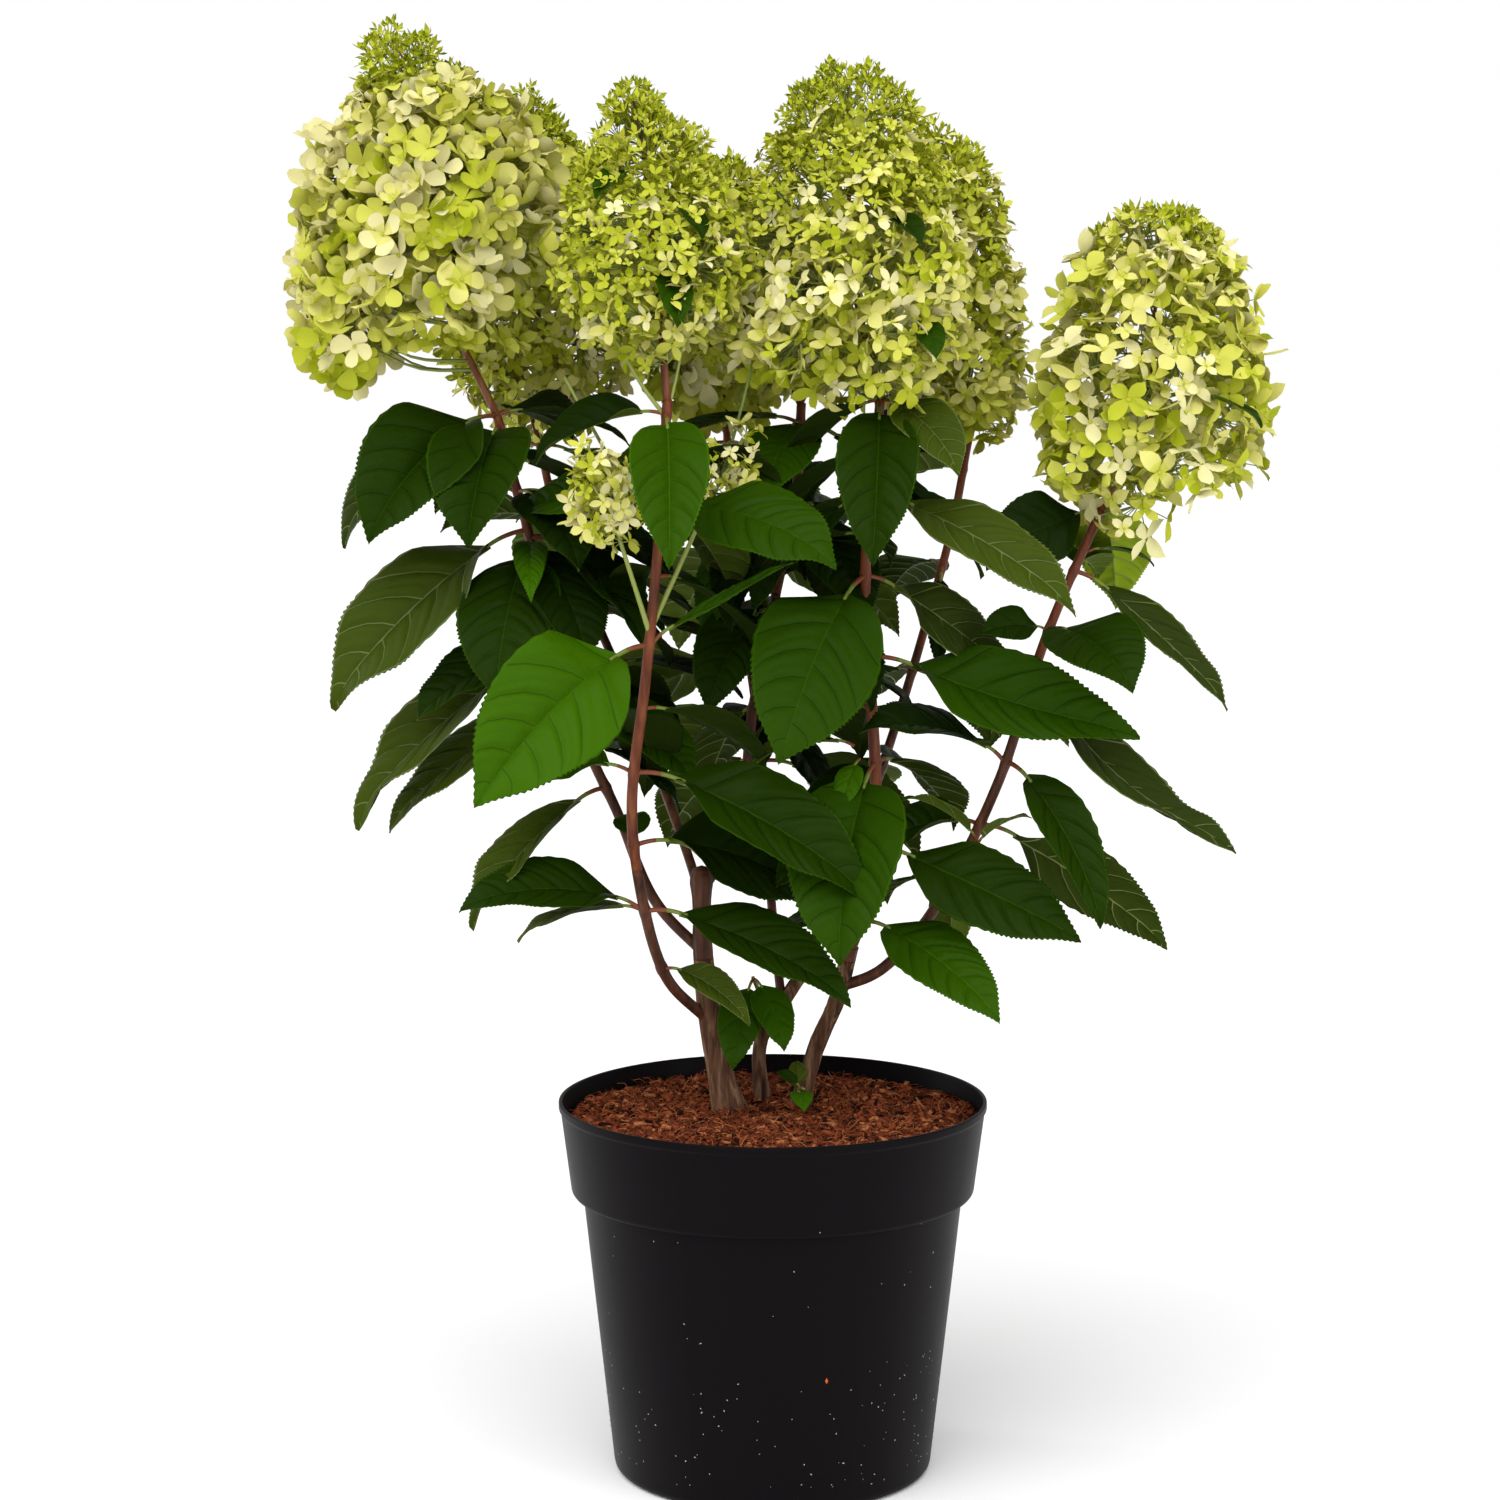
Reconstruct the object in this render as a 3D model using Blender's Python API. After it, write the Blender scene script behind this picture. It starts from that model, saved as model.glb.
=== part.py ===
"""A panicle hydrangea in a round nursery pot: three woody stems out of the soil,
canes that lean outward, opposite leaves and broad heads of blossom.

Metres, +Z up. The origin is under the middle of the pot's foot, and -Y is the front.
Angles are in degrees; a compass angle is 0 along +X and 90 along +Y.
"""

import math
import random

import bmesh
import bpy
from mathutils import Vector
from mathutils.bvhtree import BVHTree

# Driving dimensions: clearance and random seed
GAP = 0.0003
SEED = 11

# Pot
POT_HEIGHT = 0.228
POT_RIM_RADIUS = 0.130
COLLAR_HEIGHT = 0.0565
COLLAR_FOOT_RADIUS = 0.1222
BODY_TOP_RADIUS = 0.1155
BODY_FOOT_RADIUS = 0.0972
POT_WALL = 0.0022
POT_FLOOR = 0.0030
FOOT_HEIGHT = 0.0070
FOOT_ROUNDING = 0.0060
FOOT_RING_WIDTH = 0.0075
FOOT_DRAFT = 0.0020
CENTRE_FOOT_RADIUS = 0.020
STEP_CORNER = 0.0008
COLLAR_CORNER = 0.0012
RIM_BEAD_HEIGHT = 0.0045
RIM_CORNER = 0.0008
POT_SIDES = 40
NOTCH_COUNT = 6
NOTCH_WIDTH = 0.020
NOTCH_DEPTH = 0.016
NOTCH_HEIGHT = 0.0076
CUT_MARGIN = 0.0020
FIRST_NOTCH_ANGLE = -53.0

# Soil
SOIL_HEIGHT = 0.2150
SOIL_MOUND = 0.0030
SOIL_RELIEF = 0.0022
SOIL_RINGS = 6
SEAT_RADIUS = 0.016

# Stems: sides of a limb, and the space between two rings along it
LIMB_SIDES = 8
TWIG_SIDES = 6
RING_STEP = 0.022
CURVE_STEPS = 16

# Leaves: shape ratios of a blade, by its length
LEAF_WIDTH = 0.60
LEAF_FOOT_POWER = 0.55
LEAF_TIP_POWER = 0.83
LEAF_THICKNESS = 0.014
LEAF_FOLD = 16.0
LEAF_BEND = 18.0
PETIOLE_RATIO = 0.15
PETIOLE_RADIUS = 0.0013
PETIOLE_RISE = 26.0
BLADE_STATIONS = (0.05, 0.32, 0.70)
MIDRIB_STEPS = 24
LEAF_ROOT = 0.0014
# The share of the blade by which its roll is complete
ROLL_SHARE = 0.25
# Turns tried for a leaf that would touch its neighbours, before it is skipped
LEAF_TURNS = (0, 7, -7, 14, -14, 22, -22, 30, -30)
BLADE_MARK = " blade"
# A blade rolls its upper face outward, to the front or to the back of the plant
LIGHT_ROLL = 36.0
LOOSE_ROLL = 10.0
BACK_SIDE = 0.06

# Blossom: outline of a head by height share and width share, how soon its tip nods
# aside, and its florets
HEAD_OUTLINE = (
    (0.02, 0.44), (0.10, 0.84), (0.27, 1.00), (0.50, 0.96), (0.71, 0.72), (0.86, 0.44), (1.00, 0.24),
)
NOD_POWER = 6
HEAD_SIDES = 10
CORE_SHARE = 0.76
CORE_TOP = 0.96
CORE_LUMPS = 0.11
FLORET_LIFT = 0.95
FLORET_LOWEST = 0.35
FLORET_SINK = 0.45
FLORET_CUP = 0.14
FLORET_NOTCH = 0.55
FLORET_NOTCH_CUP = -0.04
ROOT_SHARE = 0.94
# Florets shrink above this height share, down to this part of their radius
SHRINK_START = 0.60
SHRINK_END = 0.70
CREST_SHARE = 0.60
GOLDEN_ANGLE = math.radians(137.508)
PEDUNCLE_RADIUS = 0.0034
STALK_START = 0.008
STALK_END = 0.32

# The three stems that rise from the soil: points (x, y, z) and radii at foot and tip
STEMS = {
    "trunk_left": (
        ((-0.024, 0.015), (-0.036, 0.012, 0.260), (-0.042, 0.010, 0.311), (-0.043, 0.008, 0.368)),
        (0.0110, 0.0050),
    ),
    "trunk_right": (
        ((0.013, 0.018), (0.026, 0.014, 0.255), (0.039, 0.008, 0.287), (0.047, -0.001, 0.322)),
        (0.0068, 0.0050),
    ),
    "trunk_back": (
        ((-0.005, 0.040), (-0.008, 0.043, 0.250), (0.004, 0.052, 0.272), (0.020, 0.062, 0.296)),
        (0.0052, 0.0042),
    ),
}
STEM_FLARE = 0.45
STEM_FLARE_HEIGHT = 0.035
# A cane whose first point is this near a stem's tip goes on from the tip
TIP_REACH = 0.004
UP = Vector((0, 0, 1))

# Canes: the stem that carries them, points, radii at foot and tip, and the height
# at which the bare bough ends and the leafy shoot begins
CANES = {
    "left_front": (
        "trunk_left",
        ((-0.041, 0.010, 0.276), (-0.065, -0.010, 0.306), (-0.079, -0.033, 0.362), (-0.083, -0.053, 0.418),
         (-0.075, -0.068, 0.485), (-0.068, -0.076, 0.552), (-0.061, -0.078, 0.652)),
        (0.0042, 0.0034), 0.300,
    ),
    "left": (
        "trunk_left",
        ((-0.042, 0.010, 0.316), (-0.072, 0.018, 0.347), (-0.094, 0.018, 0.400), (-0.116, 0.014, 0.452),
         (-0.139, 0.006, 0.543), (-0.164, 0.000, 0.641)),
        (0.0042, 0.0032), 0.398,
    ),
    "left_back": (
        "trunk_left",
        ((-0.043, 0.009, 0.343), (-0.052, 0.036, 0.372), (-0.088, 0.075, 0.463), (-0.130, 0.100, 0.560),
         (-0.148, 0.102, 0.636)),
        (0.0038, 0.0030), 0.440,
    ),
    "middle": (
        "trunk_left",
        ((-0.043, 0.008, 0.354), (-0.020, 0.022, 0.396), (-0.011, 0.032, 0.468), (0.013, 0.030, 0.589),
         (0.017, 0.022, 0.648)),
        (0.0042, 0.0034), 0.448,
    ),
    "right_middle": (
        "trunk_right",
        ((0.047, -0.001, 0.322), (0.057, -0.010, 0.356), (0.061, -0.020, 0.425), (0.054, -0.030, 0.547),
         (0.062, -0.037, 0.651)),
        (0.0048, 0.0034), 0.322,
    ),
    "right": (
        "trunk_right",
        ((0.041, 0.005, 0.296), (0.068, -0.004, 0.310), (0.100, -0.010, 0.351), (0.135, -0.015, 0.425),
         (0.161, -0.020, 0.509), (0.193, -0.020, 0.586)),
        (0.0042, 0.0034), 0.352,
    ),
    "right_back": (
        "trunk_back",
        ((0.020, 0.062, 0.296), (0.042, 0.076, 0.350), (0.066, 0.086, 0.412), (0.086, 0.092, 0.474),
         (0.110, 0.096, 0.560), (0.122, 0.096, 0.623)),
        (0.0040, 0.0030), 0.400,
    ),
    "back": (
        "trunk_back",
        ((0.006, 0.053, 0.276), (0.000, 0.084, 0.330), (-0.007, 0.120, 0.426), (-0.022, 0.148, 0.540),
         (-0.030, 0.155, 0.647)),
        (0.0036, 0.0030), 0.405,
    ),
}

# Leaf pairs along each cane: the node's height, then for each leaf its compass
# angle, the fall of its tip below the level, its length with the petiole, and its
# roll where it has one of its own
LEAF_PAIRS = {
    "left_front": (
        (0.310, (318, 30, 0.085)),
        (0.348, (339, 24, 0.142), (201, 0, 0.120)),
        (0.390, (116, 35, 0.095), (262, 20, 0.075)),
        (0.435, (345, 28, 0.160), (160, 28, 0.120)),
        (0.511, (219, 38, 0.155), (42, -16, 0.125)),
        (0.590, (327, 16, 0.125), (143, 25, 0.115)),
        (0.642, (273, 46, 0.120), (95, 36, 0.105)),
    ),
    "left": (
        (0.416, (216, 30, 0.135, 12), (82, 37, 0.115)),
        (0.468, (181, 38, 0.145, 28), (340, 34, 0.110)),
        (0.500, (188, 42, 0.165, 22), (89, 32, 0.110)),
        (0.552, (191, 38, 0.158), (258, 50, 0.120)),
        (0.596, (10, 39, 0.095), (160, 30, 0.120)),
        (0.632, (228, 34, 0.130), (250, 52, 0.105)),
    ),
    "left_back": (
        (0.455, (185, 20, 0.150), (75, 30, 0.130)),
        (0.515, (120, 32, 0.140), (330, 20, 0.115)),
        (0.572, (197, 15, 0.150), (70, 34, 0.130)),
        (0.620, (140, 40, 0.130), (8, 51, 0.105)),
    ),
    "middle": (
        (0.462, (10, 22, 0.120), (195, 32, 0.105)),
        (0.525, (249, 52, 0.120), (80, 30, 0.120)),
        (0.585, (200, 58, 0.100), (50, 25, 0.110)),
        (0.636, (255, 30, 0.095), (100, 34, 0.105)),
    ),
    "right_middle": (
        (0.338, (318, 28, 0.120), (150, 18, 0.100)),
        (0.386, (339, 26, 0.140), (210, 30, 0.110)),
        (0.436, (249, 56, 0.142), (60, 30, 0.120)),
        (0.500, (346, 20, 0.168), (189, 28, 0.120)),
        (0.545, (231, 48, 0.142), (37, 29, 0.125)),
        (0.592, (328, 30, 0.142), (115, 35, 0.105)),
        (0.643, (267, 52, 0.125), (305, 28, 0.085)),
    ),
    "right": (
        (0.362, (232, 36, 0.080), (70, 25, 0.110)),
        (0.398, (3, 42, 0.140, 6), (140, 25, 0.105)),
        (0.436, (306, 48, 0.132, 4), (210, -4, 0.105)),
        (0.466, (333, 36, 0.155, 6), (100, 28, 0.125)),
        (0.515, (304, 8, 0.095)),
        (0.550, (336, 38, 0.136, 4), (40, 28, 0.125)),
        (0.576, (263, 47, 0.085), (110, 36, 0.110)),
    ),
    "right_back": (
        (0.420, (70, 28, 0.135), (345, 26, 0.130)),
        (0.480, (20, 28, 0.145), (140, 30, 0.120)),
        (0.545, (75, 32, 0.140), (349, 34, 0.120)),
        (0.605, (15, 38, 0.130), (130, 40, 0.115)),
    ),
    "back": (
        (0.420, (131, 37, 0.140), (0, 38, 0.125)),
        (0.480, (55, 30, 0.145), (165, 30, 0.135)),
        (0.550, (110, 34, 0.145), (10, 30, 0.125)),
        (0.620, (60, 40, 0.130), (150, 42, 0.130)),
    ),
}

# Short leafy side twigs: the stem that carries them, foot height, tip, radius and
# leaves as (height share, compass angle, fall, length)
TWIGS = {
    "low": (
        "trunk_back", 0.262, (-0.012, 0.012, 0.300), 0.0018,
        ((0.60, 178, 49, 0.050), (0.97, 255, 52, 0.062), (0.97, 330, 45, 0.062)),
    ),
    "sprout": (
        "trunk_right", 0.222, (0.020, -0.004, 0.246), 0.0012,
        ((0.45, 250, -20, 0.016), (0.95, 300, -40, 0.022), (0.95, 170, -30, 0.018)),
    ),
}

TWIG_BOW = 0.004

# Heads of blossom at the canes' tips: the cane, the head's foot and top, greatest half
# width, shape of the top (1 is pointed, less is domed), sideways nod of the tip, number
# of florets, and a floret's radius
HEADS = {
    "far_left": (
        "left", (-0.208, 0.000, 0.650), (-0.200, 0.000, 0.868), 0.091, 0.95, -0.030, 30, 0.026,
    ),
    "left_back": (
        "left_back", (-0.132, 0.110, 0.640), (-0.150, 0.086, 0.832), 0.055, 0.75, 0.0, 20, 0.021,
    ),
    "left_front": (
        "left_front", (-0.064, -0.076, 0.652), (-0.068, -0.062, 0.828), 0.057, 0.80, -0.006, 24, 0.018,
    ),
    "middle": (
        "middle", (-0.002, 0.034, 0.656), (-0.010, 0.038, 0.790), 0.048, 0.70, 0.0, 16, 0.019,
    ),
    "right_middle": (
        "right_middle", (0.056, -0.050, 0.656), (0.048, -0.044, 0.842), 0.067, 0.60, 0.004, 26, 0.021,
    ),
    "right_back": (
        "right_back", (0.128, 0.098, 0.640), (0.116, 0.088, 0.808), 0.060, 0.70, 0.0, 20, 0.021,
    ),
    "far_right": (
        "right", (0.232, -0.016, 0.592), (0.236, -0.012, 0.768), 0.078, 0.85, 0.004, 26, 0.023,
    ),
    "back": (
        "back", (-0.028, 0.158, 0.652), (-0.030, 0.152, 0.806), 0.064, 0.75, 0.0, 20, 0.022,
    ),
}

# Small heads on thin stalks from a node of a cane: the cane, node height, the head's
# foot and top, half width, florets, and a floret's radius
SIDE_HEADS = {
    "side_left": ("left_front", 0.517, (-0.085, -0.098, 0.562), (-0.100, -0.112, 0.628), 0.026, 8, 0.012),
    "side_right": ("left_front", 0.520, (-0.044, -0.062, 0.575), (-0.018, -0.058, 0.628), 0.022, 6, 0.012),
}
SIDE_STALK_RADIUS = 0.0016

# Colours, as linear red, green, blue, with roughness
COLOURS = {
    "pot": ((0.012, 0.010, 0.011), 0.45),
    "soil": ((0.130, 0.045, 0.020), 0.95),
    "trunk": ((0.110, 0.070, 0.045), 0.85),
    "bough": ((0.140, 0.055, 0.035), 0.70),
    "foliage": ((0.028, 0.085, 0.012), 0.45),
    "blossom": ((0.520, 0.590, 0.200), 0.60),
}


# Materials

def make_material(kind):
    colour, roughness = COLOURS[kind]
    material = bpy.data.materials.new(kind)
    material.use_nodes = True
    shader = material.node_tree.nodes["Principled BSDF"]
    shader.inputs["Base Color"].default_value = (*colour, 1.0)
    shader.inputs["Roughness"].default_value = roughness
    shader.inputs["Metallic"].default_value = 0.0
    return material


# Meshes and objects

def closed_mesh(name, points, faces):
    """A mesh from points and faces, with its faces pointing out."""
    mesh = bpy.data.meshes.new(name)
    mesh.from_pydata([tuple(p) for p in points], [], faces)
    shell = bmesh.new()
    shell.from_mesh(mesh)
    bmesh.ops.recalc_face_normals(shell, faces=shell.faces)
    if shell.calc_volume(signed=True) < 0:
        bmesh.ops.reverse_faces(shell, faces=shell.faces)
    shell.to_mesh(mesh)
    shell.free()
    return mesh


def add_object(name, mesh):
    piece = bpy.data.objects.new(name, mesh)
    bpy.context.scene.collection.objects.link(piece)
    return piece


def as_cutter(piece):
    piece.hide_render = True
    piece.display_type = "WIRE"
    return piece


def finish_object(piece, material, smooth_angle=40.0):
    piece.data.materials.clear()
    piece.data.materials.append(material)
    piece.data.shade_smooth()
    piece.data.set_sharp_from_angle(angle=math.radians(smooth_angle))


def boolean(piece, operands, operation):
    """Join the operands to the piece, or cut them from it, and remove them."""
    group = bpy.data.collections.new("operands")
    for operand in operands:
        group.objects.link(operand)
    modifier = piece.modifiers.new("join", "BOOLEAN")
    modifier.operand_type = "COLLECTION"
    modifier.collection = group
    modifier.operation = operation
    modifier.solver = "EXACT"
    evaluated = piece.evaluated_get(bpy.context.evaluated_depsgraph_get())
    result = bpy.data.meshes.new_from_object(evaluated)
    piece.modifiers.clear()
    piece.data = result
    for operand in operands:
        bpy.data.objects.remove(operand)
    bpy.data.collections.remove(group)


def keep_main_body(piece):
    """Drop loose scraps and the shells of sealed hollows."""
    shell = bmesh.new()
    shell.from_mesh(piece.data)
    bmesh.ops.dissolve_degenerate(shell, dist=1e-6, edges=shell.edges)
    islands = []
    seen = set()
    for start in shell.verts:
        if start in seen:
            continue
        island = {start}
        stack = [start]
        while stack:
            for edge in stack.pop().link_edges:
                for vert in edge.verts:
                    if vert not in island:
                        island.add(vert)
                        stack.append(vert)
        seen |= island
        islands.append(island)
    islands.sort(key=len)
    for island in islands[:-1]:
        bmesh.ops.delete(shell, geom=list(island), context="VERTS")
    bmesh.ops.triangulate(shell, faces=shell.faces)
    shell.to_mesh(piece.data)
    shell.free()


# Paths and tubes

def smooth_path(points, step):
    """Points about a step apart on a smooth curve through the given points."""
    points = [Vector(p) for p in points]
    ends = [2 * points[0] - points[1], *points, 2 * points[-1] - points[-2]]
    fine = []
    for a, b, c, d in zip(ends, ends[1:], ends[2:], ends[3:]):
        for k in range(CURVE_STEPS):
            t = k / CURVE_STEPS
            fine.append(0.5 * (2 * b + (c - a) * t + (2 * a - 5 * b + 4 * c - d) * t ** 2
                               + (3 * b - a - 3 * c + d) * t ** 3))
    fine.append(points[-1])
    lengths = [0.0]
    for a, b in zip(fine, fine[1:]):
        lengths.append(lengths[-1] + (b - a).length)
    count = max(2, round(lengths[-1] / step))
    path = []
    k = 0
    for i in range(count + 1):
        target = lengths[-1] * i / count
        while k < len(fine) - 2 and lengths[k + 1] < target:
            k += 1
        share = (target - lengths[k]) / (lengths[k + 1] - lengths[k])
        path.append(fine[k].lerp(fine[k + 1], min(1.0, share)))
    return path


def tangents(path):
    result = []
    for i in range(len(path)):
        ahead = path[min(i + 1, len(path) - 1)]
        behind = path[max(i - 1, 0)]
        result.append((ahead - behind).normalized())
    return result


def point_at_height(path, height):
    """The point of a rising path at a height, and the index just below it."""
    for i, (a, b) in enumerate(zip(path, path[1:])):
        if a.z <= height <= b.z:
            return a.lerp(b, (height - a.z) / (b.z - a.z)), i
    return (path[0].copy(), 0) if height < path[0].z else (path[-1].copy(), len(path) - 2)


def tube_mesh(name, path, radii, sides, foot_along=None, tip_along=None):
    """A closed tube along a path, with flat ends square to it or to given directions."""
    directions = tangents(path)
    directions[0] = foot_along or directions[0]
    directions[-1] = tip_along or directions[-1]
    side = directions[0].orthogonal().normalized()
    points = []
    for centre, along, radius in zip(path, directions, radii):
        side = (side - along * side.dot(along)).normalized()
        other = along.cross(side)
        for k in range(sides):
            turn = 2 * math.pi * k / sides
            points.append(centre + radius * (math.cos(turn) * side + math.sin(turn) * other))
    faces = [tuple(reversed(range(sides)))]
    last = len(path) - 1
    for i in range(last):
        for k in range(sides):
            n = (k + 1) % sides
            faces.append((i * sides + k, i * sides + n, (i + 1) * sides + n, (i + 1) * sides + k))
    faces.append(tuple(last * sides + k for k in range(sides)))
    return closed_mesh(name, points, faces)


def taper(radii, count):
    """Radii that go evenly from the first to the last."""
    first, last = radii
    return [first + (last - first) * i / (count - 1) for i in range(count)]


def grown(radii):
    """The radii of a limb's cutter, which leaves the gap around the limb."""
    return [r + GAP for r in radii]


# Pot

def turned_mesh(name, outline, sides):
    """A closed turned body from an outline of (radius, height) points."""
    points = []
    rings = []
    for radius, height in outline:
        if radius == 0:
            rings.append([len(points)])
            points.append((0.0, 0.0, height))
            continue
        rings.append(list(range(len(points), len(points) + sides)))
        for k in range(sides):
            turn = 2 * math.pi * k / sides
            points.append((radius * math.cos(turn), radius * math.sin(turn), height))
    faces = []
    for a, b in zip(rings, rings[1:] + rings[:1]):
        for k in range(sides):
            n = (k + 1) % sides
            corners = [a[k % len(a)], a[n % len(a)], b[n % len(b)], b[k % len(b)]]
            face = tuple(dict.fromkeys(corners))
            if len(face) > 2:
                faces.append(face)
    return closed_mesh(name, points, faces)


def pot_outline():
    """The pot's outline, from the middle of its foot up the outside and down the inside."""
    collar_foot = POT_HEIGHT - COLLAR_HEIGHT
    foot_radius = BODY_FOOT_RADIUS - 0.55 * FOOT_ROUNDING
    ring_inside = foot_radius - FOOT_RING_WIDTH
    floor_top = FOOT_HEIGHT + POT_FLOOR
    inside_foot = BODY_FOOT_RADIUS - POT_WALL
    inside_top = BODY_TOP_RADIUS - POT_WALL
    return (
        (0.0, 0.0),
        (CENTRE_FOOT_RADIUS, 0.0),
        (CENTRE_FOOT_RADIUS + FOOT_DRAFT, FOOT_HEIGHT),
        (ring_inside - FOOT_DRAFT, FOOT_HEIGHT),
        (ring_inside, 0.0),
        (foot_radius, 0.0),
        (BODY_FOOT_RADIUS - 0.16 * FOOT_ROUNDING, 0.42 * FOOT_ROUNDING),
        (BODY_FOOT_RADIUS, FOOT_ROUNDING),
        (BODY_TOP_RADIUS, collar_foot - STEP_CORNER),
        (COLLAR_FOOT_RADIUS - COLLAR_CORNER, collar_foot),
        (COLLAR_FOOT_RADIUS, collar_foot + COLLAR_CORNER),
        (POT_RIM_RADIUS - COLLAR_CORNER, POT_HEIGHT - RIM_BEAD_HEIGHT - COLLAR_CORNER),
        (POT_RIM_RADIUS, POT_HEIGHT - RIM_BEAD_HEIGHT),
        (POT_RIM_RADIUS, POT_HEIGHT - RIM_CORNER),
        (POT_RIM_RADIUS - RIM_CORNER, POT_HEIGHT),
        (POT_RIM_RADIUS - POT_WALL, POT_HEIGHT),
        (COLLAR_FOOT_RADIUS - POT_WALL, collar_foot + POT_WALL),
        (inside_top, collar_foot + STEP_CORNER),
        (inside_foot, floor_top + FOOT_ROUNDING),
        (inside_foot - 0.5 * FOOT_ROUNDING, floor_top),
        (0.0, floor_top),
    )


def box_mesh(name, centre, size, turn):
    """A box of a size, turned about the vertical through its centre."""
    points = []
    for x in (-0.5, 0.5):
        for y in (-0.5, 0.5):
            for z in (-0.5, 0.5):
                u, v = x * size[0], y * size[1]
                points.append((centre[0] + u * math.cos(turn) - v * math.sin(turn),
                               centre[1] + u * math.sin(turn) + v * math.cos(turn),
                               centre[2] + z * size[2]))
    faces = ((0, 1, 3, 2), (4, 6, 7, 5), (0, 4, 5, 1), (2, 3, 7, 6), (0, 2, 6, 4), (1, 5, 7, 3))
    return closed_mesh(name, points, faces)


def build_pot(material):
    pot = add_object("pot", turned_mesh("pot", pot_outline(), POT_SIDES))
    reach = BODY_FOOT_RADIUS - 0.5 * NOTCH_DEPTH + CUT_MARGIN
    middle_height = 0.5 * (NOTCH_HEIGHT - CUT_MARGIN)
    size = (NOTCH_DEPTH, NOTCH_WIDTH, NOTCH_HEIGHT + CUT_MARGIN)
    cutters = []
    for k in range(NOTCH_COUNT):
        turn = math.radians(FIRST_NOTCH_ANGLE + k * 360 / NOTCH_COUNT)
        centre = (reach * math.cos(turn), reach * math.sin(turn), middle_height)
        cutters.append(as_cutter(add_object("notch", box_mesh("notch", centre, size, turn))))
    boolean(pot, cutters, "DIFFERENCE")
    keep_main_body(pot)
    finish_object(pot, material, 30.0)


# Soil

def soil_seats():
    """The flat round places where the stems stand."""
    return [Vector(points[0]) for points, _ in STEMS.values()]


def soil_surface(x, y, chance):
    """Height of the soil's top, flat at the height of the seats near a stem."""
    seat_height = SOIL_HEIGHT + SOIL_MOUND
    distance = min((Vector((x, y)) - seat).length for seat in soil_seats())
    rough = SOIL_HEIGHT + SOIL_MOUND * (1 - (math.hypot(x, y) / POT_RIM_RADIUS) ** 2)
    rough += SOIL_RELIEF * (chance.random() - 0.5) * 2
    if distance < SEAT_RADIUS:
        return seat_height
    blend = min(1.0, (distance - SEAT_RADIUS) / SEAT_RADIUS)
    return seat_height + (rough - seat_height) * blend


def build_soil(material):
    chance = random.Random(SEED)
    outline = pot_outline()
    inner = [(radius - GAP, height) for radius, height in outline[-5:-1]]
    floor = outline[-1][1] + GAP
    (rim_radius, rim_height), (step_radius, step_height) = outline[-6], outline[-5]
    share = (SOIL_HEIGHT - step_height) / (rim_height - step_height)
    edge_radius = step_radius + (rim_radius - step_radius) * share - 2 * GAP
    points = []
    rings = []
    for k in range(SOIL_RINGS):
        radius = edge_radius * (SOIL_RINGS - k) / SOIL_RINGS
        rings.append(list(range(len(points), len(points) + POT_SIDES)))
        for i in range(POT_SIDES):
            turn = 2 * math.pi * i / POT_SIDES
            x, y = radius * math.cos(turn), radius * math.sin(turn)
            height = SOIL_HEIGHT if k == 0 else soil_surface(x, y, chance)
            points.append((x, y, height))
    top = len(points)
    points.append((0.0, 0.0, soil_surface(0.0, 0.0, chance)))
    walls = []
    for radius, height in inner:
        low = max(height, floor) + (GAP if height <= floor else 0.0)
        walls.append(list(range(len(points), len(points) + POT_SIDES)))
        for i in range(POT_SIDES):
            turn = 2 * math.pi * i / POT_SIDES
            points.append((radius * math.cos(turn), radius * math.sin(turn), low))
    bottom = len(points)
    points.append((0.0, 0.0, floor + GAP))
    bands = [[top], *reversed(rings), *walls, [bottom]]
    faces = []
    for a, b in zip(bands, bands[1:]):
        for i in range(POT_SIDES):
            n = (i + 1) % POT_SIDES
            corners = [a[i % len(a)], a[n % len(a)], b[n % len(b)], b[i % len(b)]]
            face = tuple(dict.fromkeys(corners))
            if len(face) == 4:
                faces.append(face[:3])
                faces.append((face[0], face[2], face[3]))
            else:
                faces.append(face)
    soil = add_object("soil", closed_mesh("soil", points, faces))
    finish_object(soil, material, 60.0)


# Stems and boughs

def stem_path(name):
    points, _ = STEMS[name]
    foot = (*points[0], SOIL_HEIGHT + SOIL_MOUND + GAP)
    return smooth_path((foot, *points[1:]), RING_STEP * 0.5)


def stem_radii(name, path):
    """A stem's radii, with the root flare at its foot."""
    first, last = STEMS[name][1]
    radii = []
    for i, point in enumerate(path):
        share = i / (len(path) - 1)
        near_foot = max(0.0, 1 - (point.z - path[0].z) / STEM_FLARE_HEIGHT)
        slim = last + (first * (1 - STEM_FLARE) - last) * (1 - share)
        radii.append(max(last, slim) + first * STEM_FLARE * near_foot ** 2)
    return radii


def limb_object(name, path, radii, sides, foot_along=None, tip_along=None):
    return add_object(name, tube_mesh(name, path, radii, sides, foot_along, tip_along))


def cutter_for(path, radii, sides):
    return as_cutter(limb_object("cutter", path, grown(radii), sides))


def split_path(path, height):
    """The parts of a path below and above a height, a gap apart, and the direction there."""
    point, index = point_at_height(path, height)
    along = (path[index + 1] - path[index]).normalized()
    low = [p for p in path[:index + 1] if (p - point).length > 0.25 * RING_STEP]
    high = [p for p in path[index + 1:] if (p - point).length > 0.25 * RING_STEP]
    return [*low, point], [point + GAP * along, *high], along


def build_stems(materials):
    """The three stems; returns each one's path and radii."""
    stems = {}
    for name in STEMS:
        path = stem_path(name)
        radii = stem_radii(name, path)
        piece = limb_object(name, path, radii, LIMB_SIDES, foot_along=UP)
        finish_object(piece, materials["trunk"], 60.0)
        stems[name] = (path, radii)
    return stems


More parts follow.
